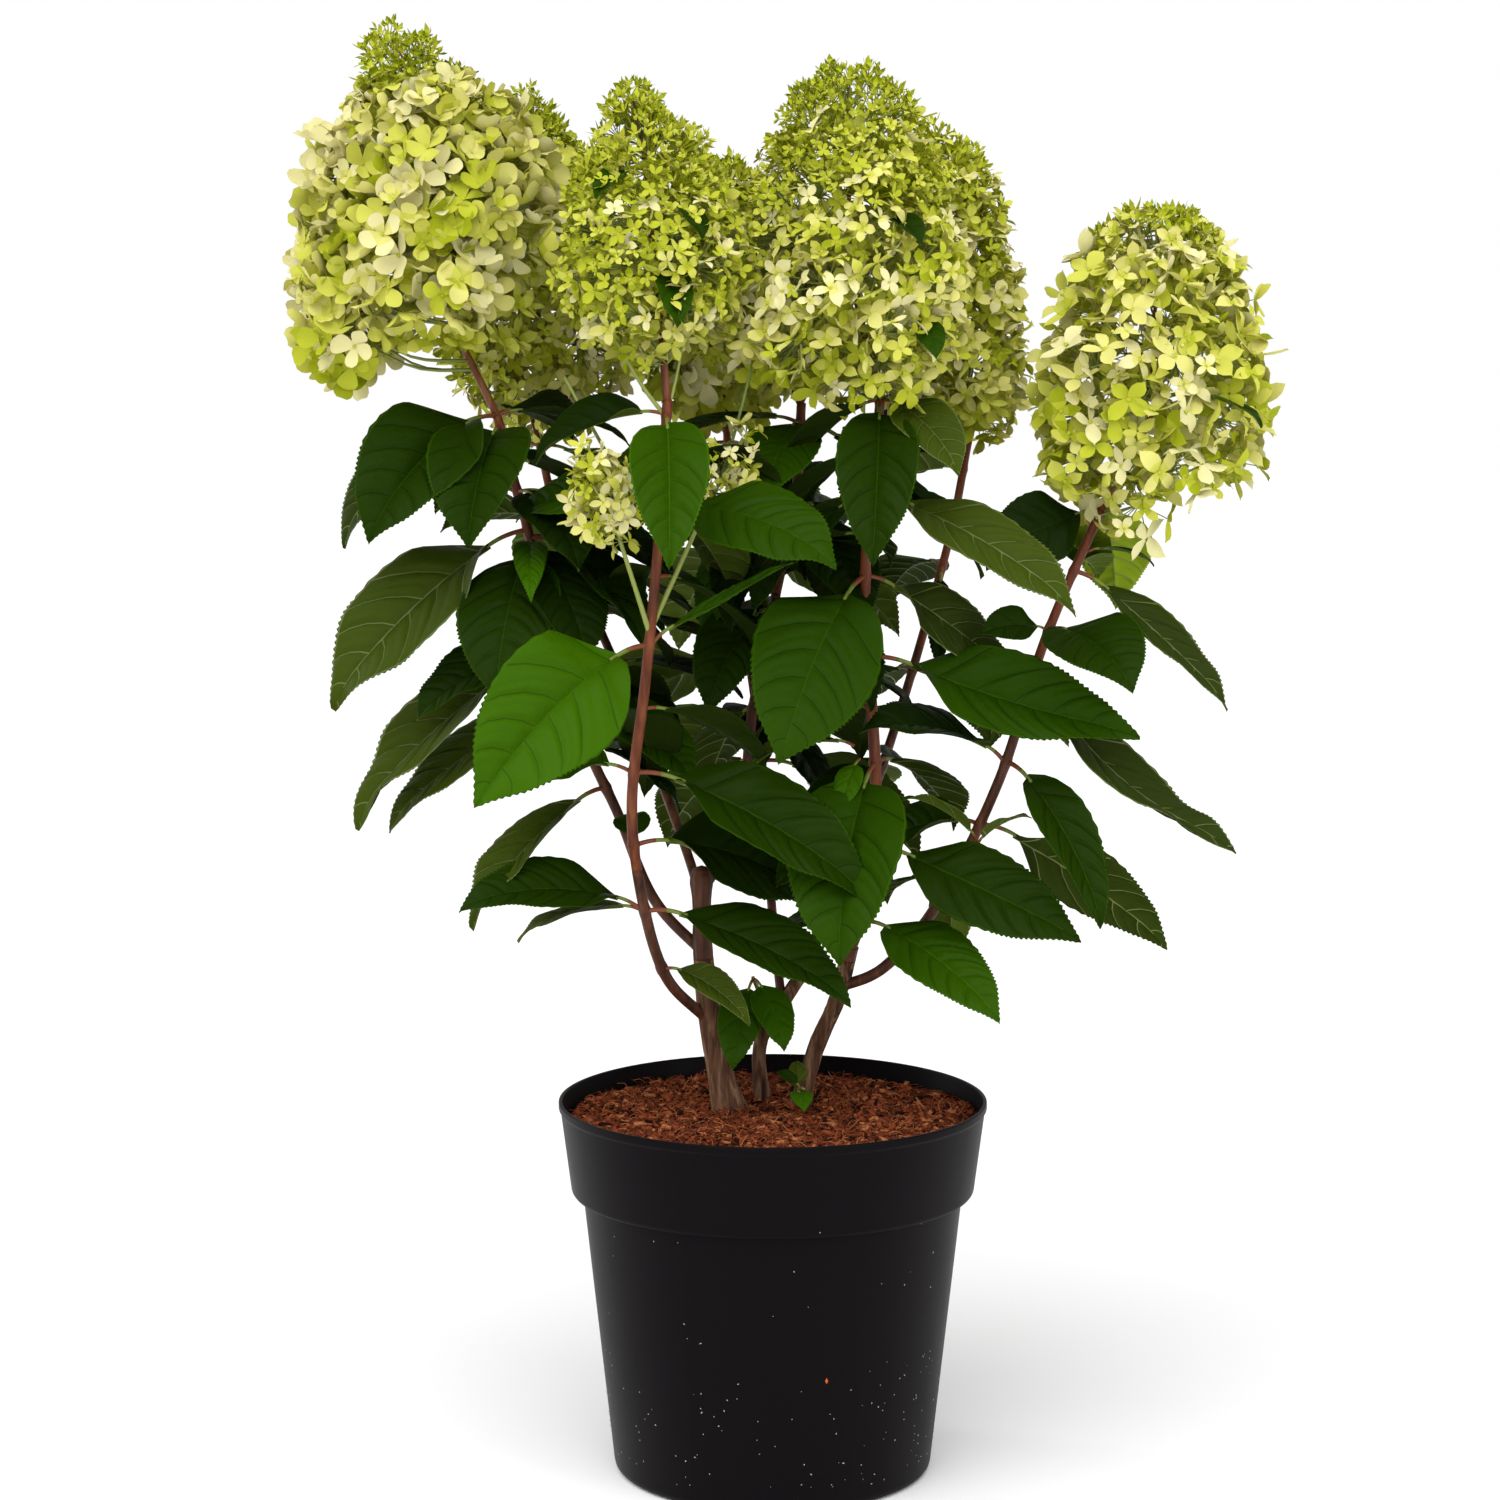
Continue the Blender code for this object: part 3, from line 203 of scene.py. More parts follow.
# Leaves at the nodes of each cane: the node's height, then for each leaf its compass
# angle, the fall of its tip below the level and its length with the petiole, and where
# it has them of its own its roll, width factor, tone and bend
# A tone is partly the leaf's own green and partly painted light and painted shade.
LEAF_PAIRS = {
    "left_front": (
        (0.31, (318, 24, 0.076, 30, 0.62, "olive")),
        (0.348, (340, 23, 0.14, 26, 0.78, "deep", 10), (201, 0, 0.118, None, 0.85, "deep"),
         (197, 13, 0.082, 0, 0.8, "pale")),
        (0.39, (12, 24, 0.128, 40, 1.1, "dark"), (95, -10, 0.05)),
        (0.435, (345, 29, 0.162, 42, 0.8, "deep", 10), (170, 12, 0.095)),
        (0.511, (220, 39, 0.15, -60, 1.12, "bright", 14), (350, -31, 0.096, 60, 0.13, "fresh", 0)),
        (0.59, (327, 16, 0.125, 34, 0.98, "mid", 14), (150, 8, 0.105), (60, 40, 0.105, 0, 1.0, "dark")),
        (0.644, (273, 48, 0.122, 0, 0.86, "fresh"), (172, 24, 0.085, -25, 1.1, "dark")),
    ),
    "left": (
        (0.416, (222, 37, 0.13, -2, 0.7, "olive", 10)),
        (0.468, (182, 37, 0.139, -30, 0.66, "olive", 10), (340, 34, 0.095)),
        (0.5, (185, 43, 0.166, -26, 0.76, "olive", 10), (203, 27, 0.1, -30, 0.85, "deep")),
        (0.564, (258, 50, 0.122, 0, 1.05, "deep"), (296, 42, 0.106, 0, 1.0, "dark"),
         (272, 24, 0.086, 0, 0.5, "bright", 24)),
        (0.573, (197, 44, 0.16, -38, 0.92, "olive", 10)),
        (0.596, (350, 26, 0.075), (170, 14, 0.1), (300, 30, 0.096, 0, 1.0, "dark")),
        (0.634, (262, 44, 0.11, 0, 1.3, "deep", 24)),
        (0.652, (227, 39, 0.127, -34, 1.18, "deep", 18), (196, 42, 0.126, -22, 0.86, "dusk")),
    ),
    "left_back": (
        (0.455, (185, 14, 0.11), (75, 30, 0.13)),
        (0.515, (120, 32, 0.14), (338, 16, 0.125, 0, 0.4, "olive", 8)),
        (0.572, (165, 8, 0.08), (92, 34, 0.13)),
        (0.62, (140, 30, 0.105), (8, 38, 0.092)),
    ),
    "middle": (
        (0.462, (35, 26, 0.11), (110, 40, 0.1)),
        (0.525, (238, 42, 0.096), (80, 30, 0.12), (310, 34, 0.112, 0, 1.0, "dark")),
        (0.585, (200, 58, 0.1), (50, 25, 0.11), (300, 42, 0.108, 0, 1.0, "dark"),
         (235, 50, 0.1, 0, 1.0, "dark")),
        (0.636, (255, 30, 0.095), (200, 14, 0.098, 0, 1.1, "dark"), (335, 38, 0.15, 0, 0.46, "dark", 8)),
    ),
    "right_middle": (
        (0.338, (318, 27, 0.118, 30, 0.8, "fresh", 12), (140, 18, 0.07)),
        (0.384, (337, 20, 0.138, 52, 0.78, "deep", 0), (205, 20, 0.07)),
        (0.436, (252, 56, 0.142, 0, 1.12, "mid"), (60, 30, 0.12)),
        (0.5, (346, 16, 0.166, 50, 0.76, "mid", -6), (215, 36, 0.085)),
        (0.548, (238, 50, 0.141, -46, 1.14, "mid", 12), (14, 37, 0.112, 52, 0.8, "dusk", 4)),
        (0.594, (328, 26, 0.151, 30, 0.66, "olive", 8), (20, 33, 0.092, 40, 0.6, "dark"), (115, 35, 0.105),
         (205, 44, 0.105, 0, 1.0, "dark")),
        (0.652, (267, 56, 0.12, 0, 0.92, "deep")),
        (0.667, (311, 36, 0.08, 24, 0.98, "olive")),
    ),
    "right": (
        (0.362, (120, 20, 0.08), (84, 60, 0.068, 0, 0.95, "pale")),
        (0.398, (3, 35, 0.137, -56, 0.74, "pale", 4), (140, 25, 0.105)),
        (0.436, (307, 49, 0.126, 18, 0.62, "deep", 14), (205, -10, 0.102, -25, 0.9, "dark")),
        (0.484, (335, 34, 0.158, 14, 0.58, "dusk", -20), (100, 28, 0.125)),
        (0.515, (297, 21, 0.096, 20, 1.25, "deep"), (195, 6, 0.042, -50, 1.3, "deep")),
        (0.55, (331, 38, 0.125, 24, 0.5, "dusk", 2), (75, 10, 0.08)),
        (0.586, (190, 20, 0.076, -66, 1.25, "dark", 0), (76, 42, 0.106, 0, 1.0, "lit")),
    ),
    "right_back": (
        (0.42, (104, 28, 0.13), (250, 26, 0.12)),
        (0.48, (20, 28, 0.125), (118, 30, 0.105)),
        (0.545, (262, 72, 0.07, 0, 0.5, "dark"), (110, 20, 0.1)),
        (0.605, (165, 10, 0.075), (210, 20, 0.095)),
    ),
    "back": (
        (0.42, (131, 37, 0.12), (0, 38, 0.125)),
        (0.48, (55, 30, 0.145), (165, 30, 0.135)),
        (0.55, (110, 34, 0.145), (10, 30, 0.125)),
        (0.62, (60, 40, 0.13), (150, 42, 0.13)),
    ),
}

# Short leafy side twigs: the stem that carries them, foot height, tip, radius and
# leaves as (height share, compass angle, fall, length and what it has of its own)
TWIGS = {
    "low": (
        "trunk_back", 0.262, (-0.012, 0.012, 0.3), 0.0018,
        ((0.6, 178, 49, 0.05), (0.97, 255, 52, 0.066), (0.97, 296, 45, 0.058)),
    ),
    "sprout": (
        "trunk_right", 0.222, (0.019, -0.002, 0.234), 0.0012,
        ((0.45, 268, -66, 0.026, 0, 1.0, "bright"), (0.6, 275, 14, 0.03, 0, 1.0, "bright"),
         (0.95, 170, -30, 0.018)),
    ),
}
TWIG_BOW = 0.004
TWIG_STEP = 0.002

# Heads of blossom at the canes' tips: the cane, the head's foot and top, greatest half
# width, shape of the top (1 is pointed, less is domed) and sideways nod of the tip
HEADS = {
    "far_left": ("left", (-0.2, 0.0, 0.652), (-0.196, 0.0, 0.867), 0.087, 0.9, -0.033),
    "left_back": ("left_back", (-0.144, 0.11, 0.636), (-0.15, 0.086, 0.832), 0.06, 0.75, 0.0),
    "left_front": ("left_front", (-0.064, -0.076, 0.678), (-0.077, -0.062, 0.831), 0.058, 0.98, -0.006),
    "middle": ("middle", (-0.002, 0.034, 0.662), (-0.01, 0.038, 0.768), 0.048, 0.7, 0.0),
    "right_middle": ("right_middle", (0.05, -0.05, 0.662), (0.038, -0.044, 0.839), 0.07, 0.58, 0.006),
    "right_back": ("right_back", (0.118, 0.094, 0.632), (0.1, 0.088, 0.812), 0.049, 0.5, 0.0),
    "far_right": ("right", (0.221, -0.016, 0.589), (0.226, -0.012, 0.762), 0.073, 0.57, 0.0),
    "back": ("back", (-0.028, 0.158, 0.65), (-0.03, 0.152, 0.795), 0.064, 0.75, 0.0),
}

# Small heads on thin stalks from a cane: the cane, the stalk's height on it, the head's
# foot and top, and half width
SIDE_HEADS = {
    "side_left": ("left_front", 0.517, (-0.088, -0.098, 0.574), (-0.106, -0.112, 0.63), 0.026),
    "side_right": ("left_front", 0.52, (-0.04, -0.064, 0.588), (-0.014, -0.066, 0.636), 0.022),
}
SIDE_STALK_RADIUS = 0.0016
SIDE_AXIS_RADIUS = 0.0012
AXIS_RADIUS = 0.0024
AXIS_TIP_RADIUS = 0.0007
PEDICEL_RADIUS = 0.00040
GREEN_PEDICEL_RADIUS = 0.00034
SLIMMER = 0.7
# Step lengths and sides of the stalks' tubes
SIDE_STALK_STEP = 0.004
RAY_STEP = 0.006
BRANCH_STEP = 0.010
STALK_SIDES = 8
RAY_SIDES = 6
BRANCH_SIDES = 4

# Thick pale rays that show under the heads: two ends, radius and paint
RAYS = {
    "left_front": (
        ((-0.0625, -0.078, 0.643), (-0.09, -0.074, 0.686), 0.0014, "ray"),
        ((-0.061, -0.078, 0.645), (-0.051, -0.074, 0.69), 0.0011, "ray"),
        ((-0.0665, -0.0765, 0.575), (-0.122, -0.03, 0.664), 0.0013, "ray"),
        ((-0.031, -0.0645, 0.606), (-0.012, -0.06, 0.674), 0.0012, "ray_dark"),
    ),
    "right_middle": (
        ((0.063, -0.038, 0.653), (0.076, -0.044, 0.69), 0.0012, "ray"),
        ((0.061, -0.038, 0.653), (0.052, -0.044, 0.686), 0.001, "ray"),
    ),
    "middle": (
        ((0.017, 0.022, 0.648), (0.033, 0.02, 0.686), 0.0016, "peduncle"),
        ((0.015, 0.022, 0.648), (0.006, 0.024, 0.682), 0.0013, "peduncle"),
    ),
}

# Shapes of stems and leaves
CURVE_STEPS = 16
RING_STEP = 0.022
FINE_STEP = 0.003
TIP_BULGE = 0.35
CANE_SLIMNESS = 0.82
WHOLE_LEAF = 0.14
SMALL_LEAF = 0.07
LEAF_STEPS = 160
PETIOLE_SIDES = 6
LEAF_WIDTH = 0.565
LEAF_FOOT_POWER = 0.6
LEAF_TIP_POWER = 0.92
LEAF_BEND = 18.0
PETIOLE_RATIO = 0.15
PETIOLE_RADIUS = 0.0013
PETIOLE_RISE = 26.0
LEAF_ROOT = 0.0014
ROLL_SHARE = 0.25
LIGHT_ROLL = 36.0
LOOSE_ROLL = 10.0
BACK_SIDE = 0.06
FOLDS = (9, 15, 21, 28)
WAVE_HEIGHTS = (0.0008, 0.0026)
LEAF_COLUMNS = (0.0, 0.03, 0.24, 0.5, 0.78, 0.965, 1.0)
LEAF_VEINS = 6
# Rows of faces from one vein to the next: a narrow row under each side's vein
VEIN_ROWS = (0.0, 0.12, 0.23, 0.27, 0.38, 0.5, 0.62, 0.73, 0.77, 0.88)
LEFT_VEIN_ROW, RIGHT_VEIN_ROW = 2, 7
PLAIN_ROWS = (0.0, 0.25, 0.5, 0.75)
TOOTH_ROWS = (0.0, 0.23, 0.27, 0.5, 0.73, 0.77)
VEIN_SLANT = 0.42
VEIN_DEPTH = 0.0017
RIB_HALF_WIDTH = 0.0006
RIB_DEPTH = 0.0011
RIDGE_DEPTH = 0.0004
GROOVE_DEPTH = 0.0007
TOOTH = 0.0011
TOOTH_LEAN = 0.006
BLADE_THICKNESS = 0.0005
# Greens from dark to bright, partly the leaves' own greens and partly painted light and painted shade, and
# those with an olive rib
TONES = ("dark", "deep", "mid", "fresh", "bright")
OLIVE_TONES = ("olive", "pale", "dusk")
# Inner leaves: their share of the way between two nodes, the least height and their lengths
INNER_SHARE = 0.5
INNER_FOOT = 0.4
INNER_LENGTHS = (0.075, 0.110)
CROWN_MIDDLE = (0.01, 0.04)
INNER_CANES = ("left_front", "left", "left_back", "middle", "right_middle", "back")

# How each head has opened: the form of its large florets, the height share where they have
# halved in size, their radius low down, the share of cream among them, and how wide
# the band is where they shrink
OPENING = {
    "far_left": ("broad", 0.77, 0.0134, 0.86, 0.12),
    "left_back": ("oval", 0.62, 0.01, 0.4, 0.45),
    "left_front": ("oval", 0.24, 0.0102, 0.45, 0.45),
    "middle": ("oval", 0.5, 0.0105, 0.35, 0.45),
    "right_middle": ("oval", 0.44, 0.012, 0.55, 0.45),
    "right_back": ("oval", 0.7, 0.012, 0.6, 0.45),
    "far_right": ("oval", 0.84, 0.0148, 0.62, 0.22),
    "back": ("broad", 0.8, 0.0138, 0.55, 0.3),
    "side_left": ("oval", 1.0, 0.0086, 0.55, 0.45),
    "side_right": ("oval", 1.2, 0.0088, 1.0, 0.45),
}
CLUSTER_SHARE = 0.27
LEAST_CLUSTER = 0.0062
# Where a head's foot is cut off aslant: rise to the right and height over its foot
SKIRTS = {
    "far_left": (0.7, 0.052),
    "far_right": (0.3, 0.004),
}
# Florets: half width of a sepal by its length share, sizes and shares
BROAD_SEPAL = ((0, 0.09), (0.30, 0.28), (0.53, 0.41), (0.72, 0.445), (0.88, 0.38), (1, 0.24))
OVAL_SEPAL = ((0, 0.07), (0.25, 0.24), (0.5, 0.315), (0.75, 0.28), (1, 0.03))
BODY, THROAT = 0, 1
PETAL_TONES = ("petal_cream", "petal_pale", "petal_soft", "petal_lime", "petal_green")
GOLDEN_ANGLE = math.radians(137.508)
TEMPLATES = 8
SMALL_RADIUS = 0.006
LARGE_FROM = 0.0078
SIZE_FACTORS = (0.62, 0.80, 0.92, 1.0, 1.08, 1.16)
BEAD_SHARE = 0.30
BEAD_SPREAD = 0.3
BEAD_RADII = (0.0008, 0.0013)
INNER_RADIUS = 0.0125
INNER_STEP = 0.021

# Small leaves inside or right under the heads and at the nodes, beyond the leaf pairs:
# a point, compass angle, fall, length and tone
BRACTS = (
    ((-0.08, -0.086, 0.78), 230, 30, 0.036, "mid"),
    ((-0.056, -0.092, 0.762), 300, 35, 0.04, "deep"),
    ((-0.062, -0.092, 0.728), 285, 50, 0.05, "mid"),
    ((0.06, -0.082, 0.752), 300, 20, 0.046, "deep"),
    ((0.082, -0.072, 0.7), 290, 45, 0.038, "mid"),
    ((0.246, -0.056, 0.652), 318, 22, 0.048, "deep"),
    ((0.051, -0.034, 0.44), 240, 55, 0.036, "bright"),
    ((0.048, -0.02, 0.446), 205, 10, 0.07, "olive"),
    ((-0.143, 0.003, 0.556), 262, 66, 0.05, "bright"),
    ((0.186, -0.022, 0.562), 345, 14, 0.042, "deep"),
    ((0.122, -0.017, 0.388), 190, -28, 0.056, "mid"),
    ((0.122, -0.019, 0.386), 325, -26, 0.044, "olive"),
)

# Floor, lights and camera; an area light has its name, place, size and energy
FLOOR_REACH = 14.0
FLOOR_DROP = 0.0005
FLOOR_COLOUR = (0.92, 0.92, 0.92, 1.0)
AMBIENT = 0.62
SUN_WAY = (0.26, 0.80, -1.02)
SUN_STRENGTH = 2.5
SUN_SPREAD = 70
LIGHT_TARGET = (0.0, 0.0, 0.45)
AREA_LIGHTS = (
    ("fill", (2.0, -1.6, 1.2), (1.0, 1.6), 14),
    ("edge", (-1.9, 0.9, 1.0), (0.4, 1.6), 8),
)
CAMERA_PLACE = (-0.0138, -2.0865, 0.6962)
CAMERA_TILT = 83.03
LENS = 84.0
SENSOR_WIDTH = 36.0


# Materials

def srgb(*values):
    """Linear colour from red, green and blue between 0 and 255."""
    return tuple(((v / 255 + 0.055) / 1.055) ** 2.4 if v > 10 else v / 255 / 12.92 for v in values)


class Paint:
    """A material made of nodes, with helpers for noise, colour and bump."""

    def __init__(self, name, colour, roughness, specular):
        self.material = bpy.data.materials.new(name)
        self.material.use_nodes = True
        self.tree = self.material.node_tree
        self.shader = self.tree.nodes["Principled BSDF"]
        self.set("Base Color", (*srgb(*colour), 1.0))
        self.set("Roughness", roughness)
        self.set("Specular IOR Level", specular)
        self.coordinates = self.tree.nodes.new("ShaderNodeTexCoord").outputs["Object"]

    def set(self, socket, value, node=None):
        """Gives an input of the shader, or of a node, a value or another node's output."""
        target = (node or self.shader).inputs[socket]
        if isinstance(value, bpy.types.NodeSocket):
            self.tree.links.new(value, target)
        else:
            target.default_value = value

    def node(self, kind, **inputs):
        """A new node; a low line in an input's name stands for a blank."""
        node = self.tree.nodes.new("ShaderNode" + kind)
        for socket, value in inputs.items():
            self.set(socket.replace("_", " "), value, node)
        return node

    def noise(self, scale, detail=3.0, stretch=None, distortion=0.0):
        place = self.coordinates
        if stretch:
            place = self.node("Mapping", Vector=place, Scale=stretch).outputs["Vector"]
        node = self.node("TexNoise", Vector=place, Scale=scale, Detail=detail, Distortion=distortion)
        return node.outputs["Fac"]

    def cells(self, scale, feature="DISTANCE_TO_EDGE"):
        node = self.node("TexVoronoi", Vector=self.coordinates, Scale=scale)
        node.feature = feature
        return node.outputs["Distance"]

    def ramp(self, factor, *stops):
        """Colours at places along a factor, each as its place and its colour."""
        node = self.node("ValToRGB", Fac=factor)
        while len(node.color_ramp.elements) < len(stops):
            node.color_ramp.elements.new(0.5)
        for element, (place, colour) in zip(node.color_ramp.elements, stops):
            element.position = place
            element.color = (*srgb(*colour), 1.0)
        return node.outputs["Color"]

    def span(self, factor, low, high):
        """A factor spread from low to high."""
        return self.node("MapRange", Value=factor, To_Min=low, To_Max=high).outputs["Result"]

    def bump(self, height, distance, strength):
        """Relief from a height, on top of any relief so far."""
        node = self.node("Bump", Height=height, Distance=distance, Strength=strength)
        normal = self.shader.inputs["Normal"]
        if normal.is_linked:
            self.set("Normal", normal.links[0].from_socket, node)
        self.set("Normal", node.outputs["Normal"])


def leaf_paint(name, colour, roughness=0.42, specular=0.035):
    """A leaf's surface: fine net of veins and a soft, uneven sheen."""
    paint = Paint(name, colour, roughness, specular)
    paint.set("Roughness", paint.span(paint.noise(60.0, 2.0), roughness - 0.07, roughness + 0.10))
    paint.bump(paint.noise(85.0, 2.0), 0.0012, 0.6)
    paint.bump(paint.cells(520.0), 0.00025, 0.55)
    paint.bump(paint.noise(190.0, 3.0), 0.0004, 0.5)
    return paint.material


def underside_paint(name, colour):
    return leaf_paint(name, colour, 0.66, 0.03)


def petal_paint(name, colour):
    """A thin petal that lets a little light through."""
    paint = Paint(name, colour, 0.60, 0.05)
    paint.set("Subsurface Weight", 0.16)
    paint.set("Subsurface Radius", (1.0, 0.95, 0.35))
    paint.set("Subsurface Scale", 0.003)
    paint.set("Roughness", paint.span(paint.noise(140.0, 2.0), 0.48, 0.64))
    paint.bump(paint.noise(420.0, 2.0), 0.0002, 0.5)
    return paint.material


def stalk_paint(name, colour):
    paint = Paint(name, colour, 0.5, 0.4)
    paint.bump(paint.noise(900.0, 2.0, stretch=(1.0, 1.0, 0.15)), 0.0002, 0.6)
    return paint.material


def bark_paint(name, colour):
    """Grey-brown bark of the old stems, with long fissures."""
    paint = Paint(name, colour, 0.85, 0.2)
    grain = paint.noise(240.0, 6.0, stretch=(1.0, 1.0, 0.12), distortion=0.6)
    paint.set("Base Color", paint.ramp(
        grain, (0.30, (44, 28, 20)), (0.48, (92, 62, 44)), (0.60, (126, 94, 70)), (0.74, (150, 122, 98))))
    paint.bump(grain, 0.0012, 0.8)
    return paint.material


def cane_paint(name, colours):
    """Smooth young bark with faint streaks and small pores, from dark, middle and light."""
    dark, middle, light = colours
    paint = Paint(name, middle, 0.50, 0.25)
    streaks = paint.noise(210.0, 4.0, stretch=(1.0, 1.0, 0.10))
    paint.set("Base Color", paint.ramp(streaks, (0.28, dark), (0.50, middle), (0.74, light)))
    paint.bump(streaks, 0.0005, 0.5)
    paint.bump(paint.cells(330.0, "F1"), 0.0003, 0.4)
    return paint.material


def pot_paint(name, colour):
    """Black moulded plastic, a little dull, with faint flow lines and dust."""
    paint = Paint(name, colour, 0.36, 0.055)
    paint.set("Roughness", paint.span(paint.noise(16.0, 5.0, stretch=(1.0, 1.0, 0.5)), 0.34, 0.52))
    paint.bump(paint.noise(42.0, 2.0, stretch=(1.0, 1.0, 0.04)), 0.0004, 0.16)
    paint.bump(paint.noise(1500.0, 2.0), 0.0001, 0.35)
    return paint.material


def soil_paint(name, colour):
    """Crumbly ground between the chips of bark."""
    paint = Paint(name, colour, 0.95, 0.05)
    crumbs = paint.noise(170.0, 8.0, distortion=0.4)
    # The colour follows the bump's noise and is darkest where the bump is lowest: the soil's own mixed
    # browns, with painted shade in its hollows
    paint.set("Base Color", paint.ramp(
        crumbs, (0.34, (26, 11, 6)), (0.48, (72, 33, 18)), (0.60, (124, 64, 38)), (0.75, (166, 98, 62))))
    paint.bump(crumbs, 0.003, 0.9)
    paint.bump(paint.cells(420.0, "F1"), 0.0012, 0.7)
    return paint.material


def crumb_paint(name, colour):
    paint = Paint(name, colour, 0.9, 0.05)
    paint.bump(paint.noise(900.0, 3.0), 0.0004, 0.7)
    return paint.material


PAINTS = {}
for make_paint, colours_by_name in (
    (leaf_paint, {
        "leaf_bright": (54, 92, 2), "leaf_fresh": (43, 75, 1), "leaf_mid": (37, 65, 1),
        "leaf_deep": (28, 49, 1), "leaf_dark": (20, 37, 2), "leaf_olive": (58, 72, 14),
        "leaf_pale": (88, 100, 40), "leaf_dusk": (42, 54, 12), "leaf_lit": (66, 92, 8),
    }),
    (underside_paint, {
        "under_lit": (128, 150, 30), "under_fresh": (74, 90, 26), "under_dull": (48, 62, 14),
        "under_dark": (34, 48, 8),
    }),
    (stalk_paint, {
        "rib_olive": (84, 96, 36), "rib_under": (102, 114, 52), "petiole_red": (124, 66, 38),
        "petiole_green": (112, 128, 44), "ray": (146, 158, 76), "ray_dark": (108, 124, 56),
    }),
    (petal_paint, {
        "petal_cream": (222, 216, 158), "petal_pale": (212, 208, 120), "petal_soft": (198, 199, 84),
        "petal_lime": (178, 184, 50), "petal_green": (154, 163, 28), "petal_deep": (128, 140, 12),
    }),
    (cane_paint, {
        "peduncle": ((86, 46, 28), (122, 70, 44), (146, 98, 66)),
        "cane": ((74, 36, 18), (112, 56, 30), (138, 80, 48)),
        "cane_old": ((48, 26, 16), (80, 44, 26), (112, 68, 44)),
    }),
    (bark_paint, {"old_bark": (96, 68, 50)}),
    (pot_paint, {"pot_plastic": (11, 7, 10)}),
    (soil_paint, {"soil_ground": (96, 50, 34)}),
    (crumb_paint, {
        "crumb_dark": (38, 19, 13), "crumb_brown": (98, 48, 28), "crumb_red": (138, 68, 40),
        "crumb_tan": (170, 106, 66), "dust": (172, 162, 152), "dust_rust": (206, 92, 40),
    }),
):
    for paint_name, colour in colours_by_name.items():
        PAINTS[paint_name] = make_paint(paint_name, colour)


# Gathering points and faces into pieces

def link(name, data):
    """A new object with its data, in the scene."""
    item = bpy.data.objects.new(name, data)
    bpy.context.scene.collection.objects.link(item)
    return item


class Shape:
    """Points, faces and paints gathered for one piece."""

    def __init__(self):
        self.points = []
        self.quads = [(np.zeros((0, 4), np.int64), np.zeros(0, np.int64))]
        self.triangles = [(np.zeros((0, 3), np.int64), np.zeros(0, np.int64))]
        self.count = 0
        self.paints = []

    def slot(self, paint):
        if paint not in self.paints:
            self.paints.append(paint)
        return self.paints.index(paint)

    def add(self, points, quads=None, triangles=None, paint=None, quad_slots=None, triangle_slots=None):
        """Points (n, 3) and faces on them, all in one paint or with a slot for each face."""
        points = np.asarray(points, float).reshape(-1, 3)
        given = (quads, quad_slots, self.quads), (triangles, triangle_slots, self.triangles)
        for faces, slots, kept in given:
            if faces is None:
                continue
            faces = np.asarray(faces, np.int64)
            slots = np.full(len(faces), self.slot(paint)) if slots is None else np.asarray(slots)
            kept.append((faces + self.count, slots))
        self.points.append(points)
        self.count += len(points)

    def piece(self, name, nodes, slot, sharp=None):
        """The piece as an object that rides on the body and stands for its nodes."""
        quads = np.concatenate([faces for faces, _ in self.quads])
        triangles = np.concatenate([faces for faces, _ in self.triangles])
        slots = np.concatenate([s for _, s in self.quads + self.triangles])
        points = np.concatenate(self.points)
        mesh = bpy.data.meshes.new(name)
        mesh.vertices.add(len(points))
        mesh.vertices.foreach_set("co", points.astype(np.float32).ravel())
        corners = np.concatenate([quads.ravel(), triangles.ravel()]).astype(np.int32)
        starts = np.concatenate([np.arange(len(quads)) * 4, 4 * len(quads) + np.arange(len(triangles)) * 3])
        mesh.loops.add(len(corners))
        mesh.loops.foreach_set("vertex_index", corners)
        mesh.polygons.add(len(starts))
        mesh.polygons.foreach_set("loop_start", starts.astype(np.int32))
        mesh.polygons.foreach_set("material_index", slots.astype(np.int32))
        mesh.update(calc_edges=True)
        mesh.validate()
        for paint in self.paints:
            mesh.materials.append(PAINTS[paint])
        mesh.shade_smooth()
        if sharp:
            mesh.set_sharp_from_angle(angle=math.radians(sharp))
        piece = link(name, mesh)
        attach(piece, "root")
        if nodes:
            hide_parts(*nodes)
        return piece


def unit(vectors):
    vectors = np.asarray(vectors, float)
    return vectors / np.maximum(np.linalg.norm(vectors, axis=-1, keepdims=True), 1e-12)


def clamped(value):
    return min(1.0, max(0.0, value))


def any_turn(chance):
    return chance.uniform(0, 2 * math.pi)


def in_axes(points, a, b, c):
    """Points whose three measures go along the axes a, b and c."""
    return points[:, :1] * a + points[:, 1:2] * b + points[:, 2:] * c


def copies(faces, offsets):
    """The same faces for each copy, from the number of its first point."""
    return (faces[None] + offsets[:, None, None]).reshape(-1, faces.shape[1])


def level_ways(turn):
    """The level directions along a turn in radians and across it."""
    c, s = math.cos(turn), math.sin(turn)
    return np.array([c, s, 0.0]), np.array([-s, c, 0.0])


def slanted(spin, tilt):
    """The direction at a turn round the upright and a tilt above the level."""
    return np.array([math.cos(spin) * math.cos(tilt), math.sin(spin) * math.cos(tilt), math.sin(tilt)])


def grid_faces(index):
    """Faces between the rows and columns of a grid of point numbers."""
    return np.stack([index[:-1, :-1], index[1:, :-1], index[1:, 1:], index[:-1, 1:]], axis=-1).reshape(-1, 4)


def tube_faces(rings, sides, first, foot, tip):
    """Faces of a closed tube: its rings' points start at first, its caps meet at foot and tip."""
    index = first + np.arange(rings * sides).reshape(rings, sides)
    nexts = np.roll(index, -1, axis=1)
    quads = np.stack([index[:-1], nexts[:-1], nexts[1:], index[1:]], axis=-1).reshape(-1, 4)
    caps = [(foot, nexts[0, k], index[0, k]) for k in range(sides)]
    return quads, caps + [(tip, index[-1, k], nexts[-1, k]) for k in range(sides)]


# Paths and tubes

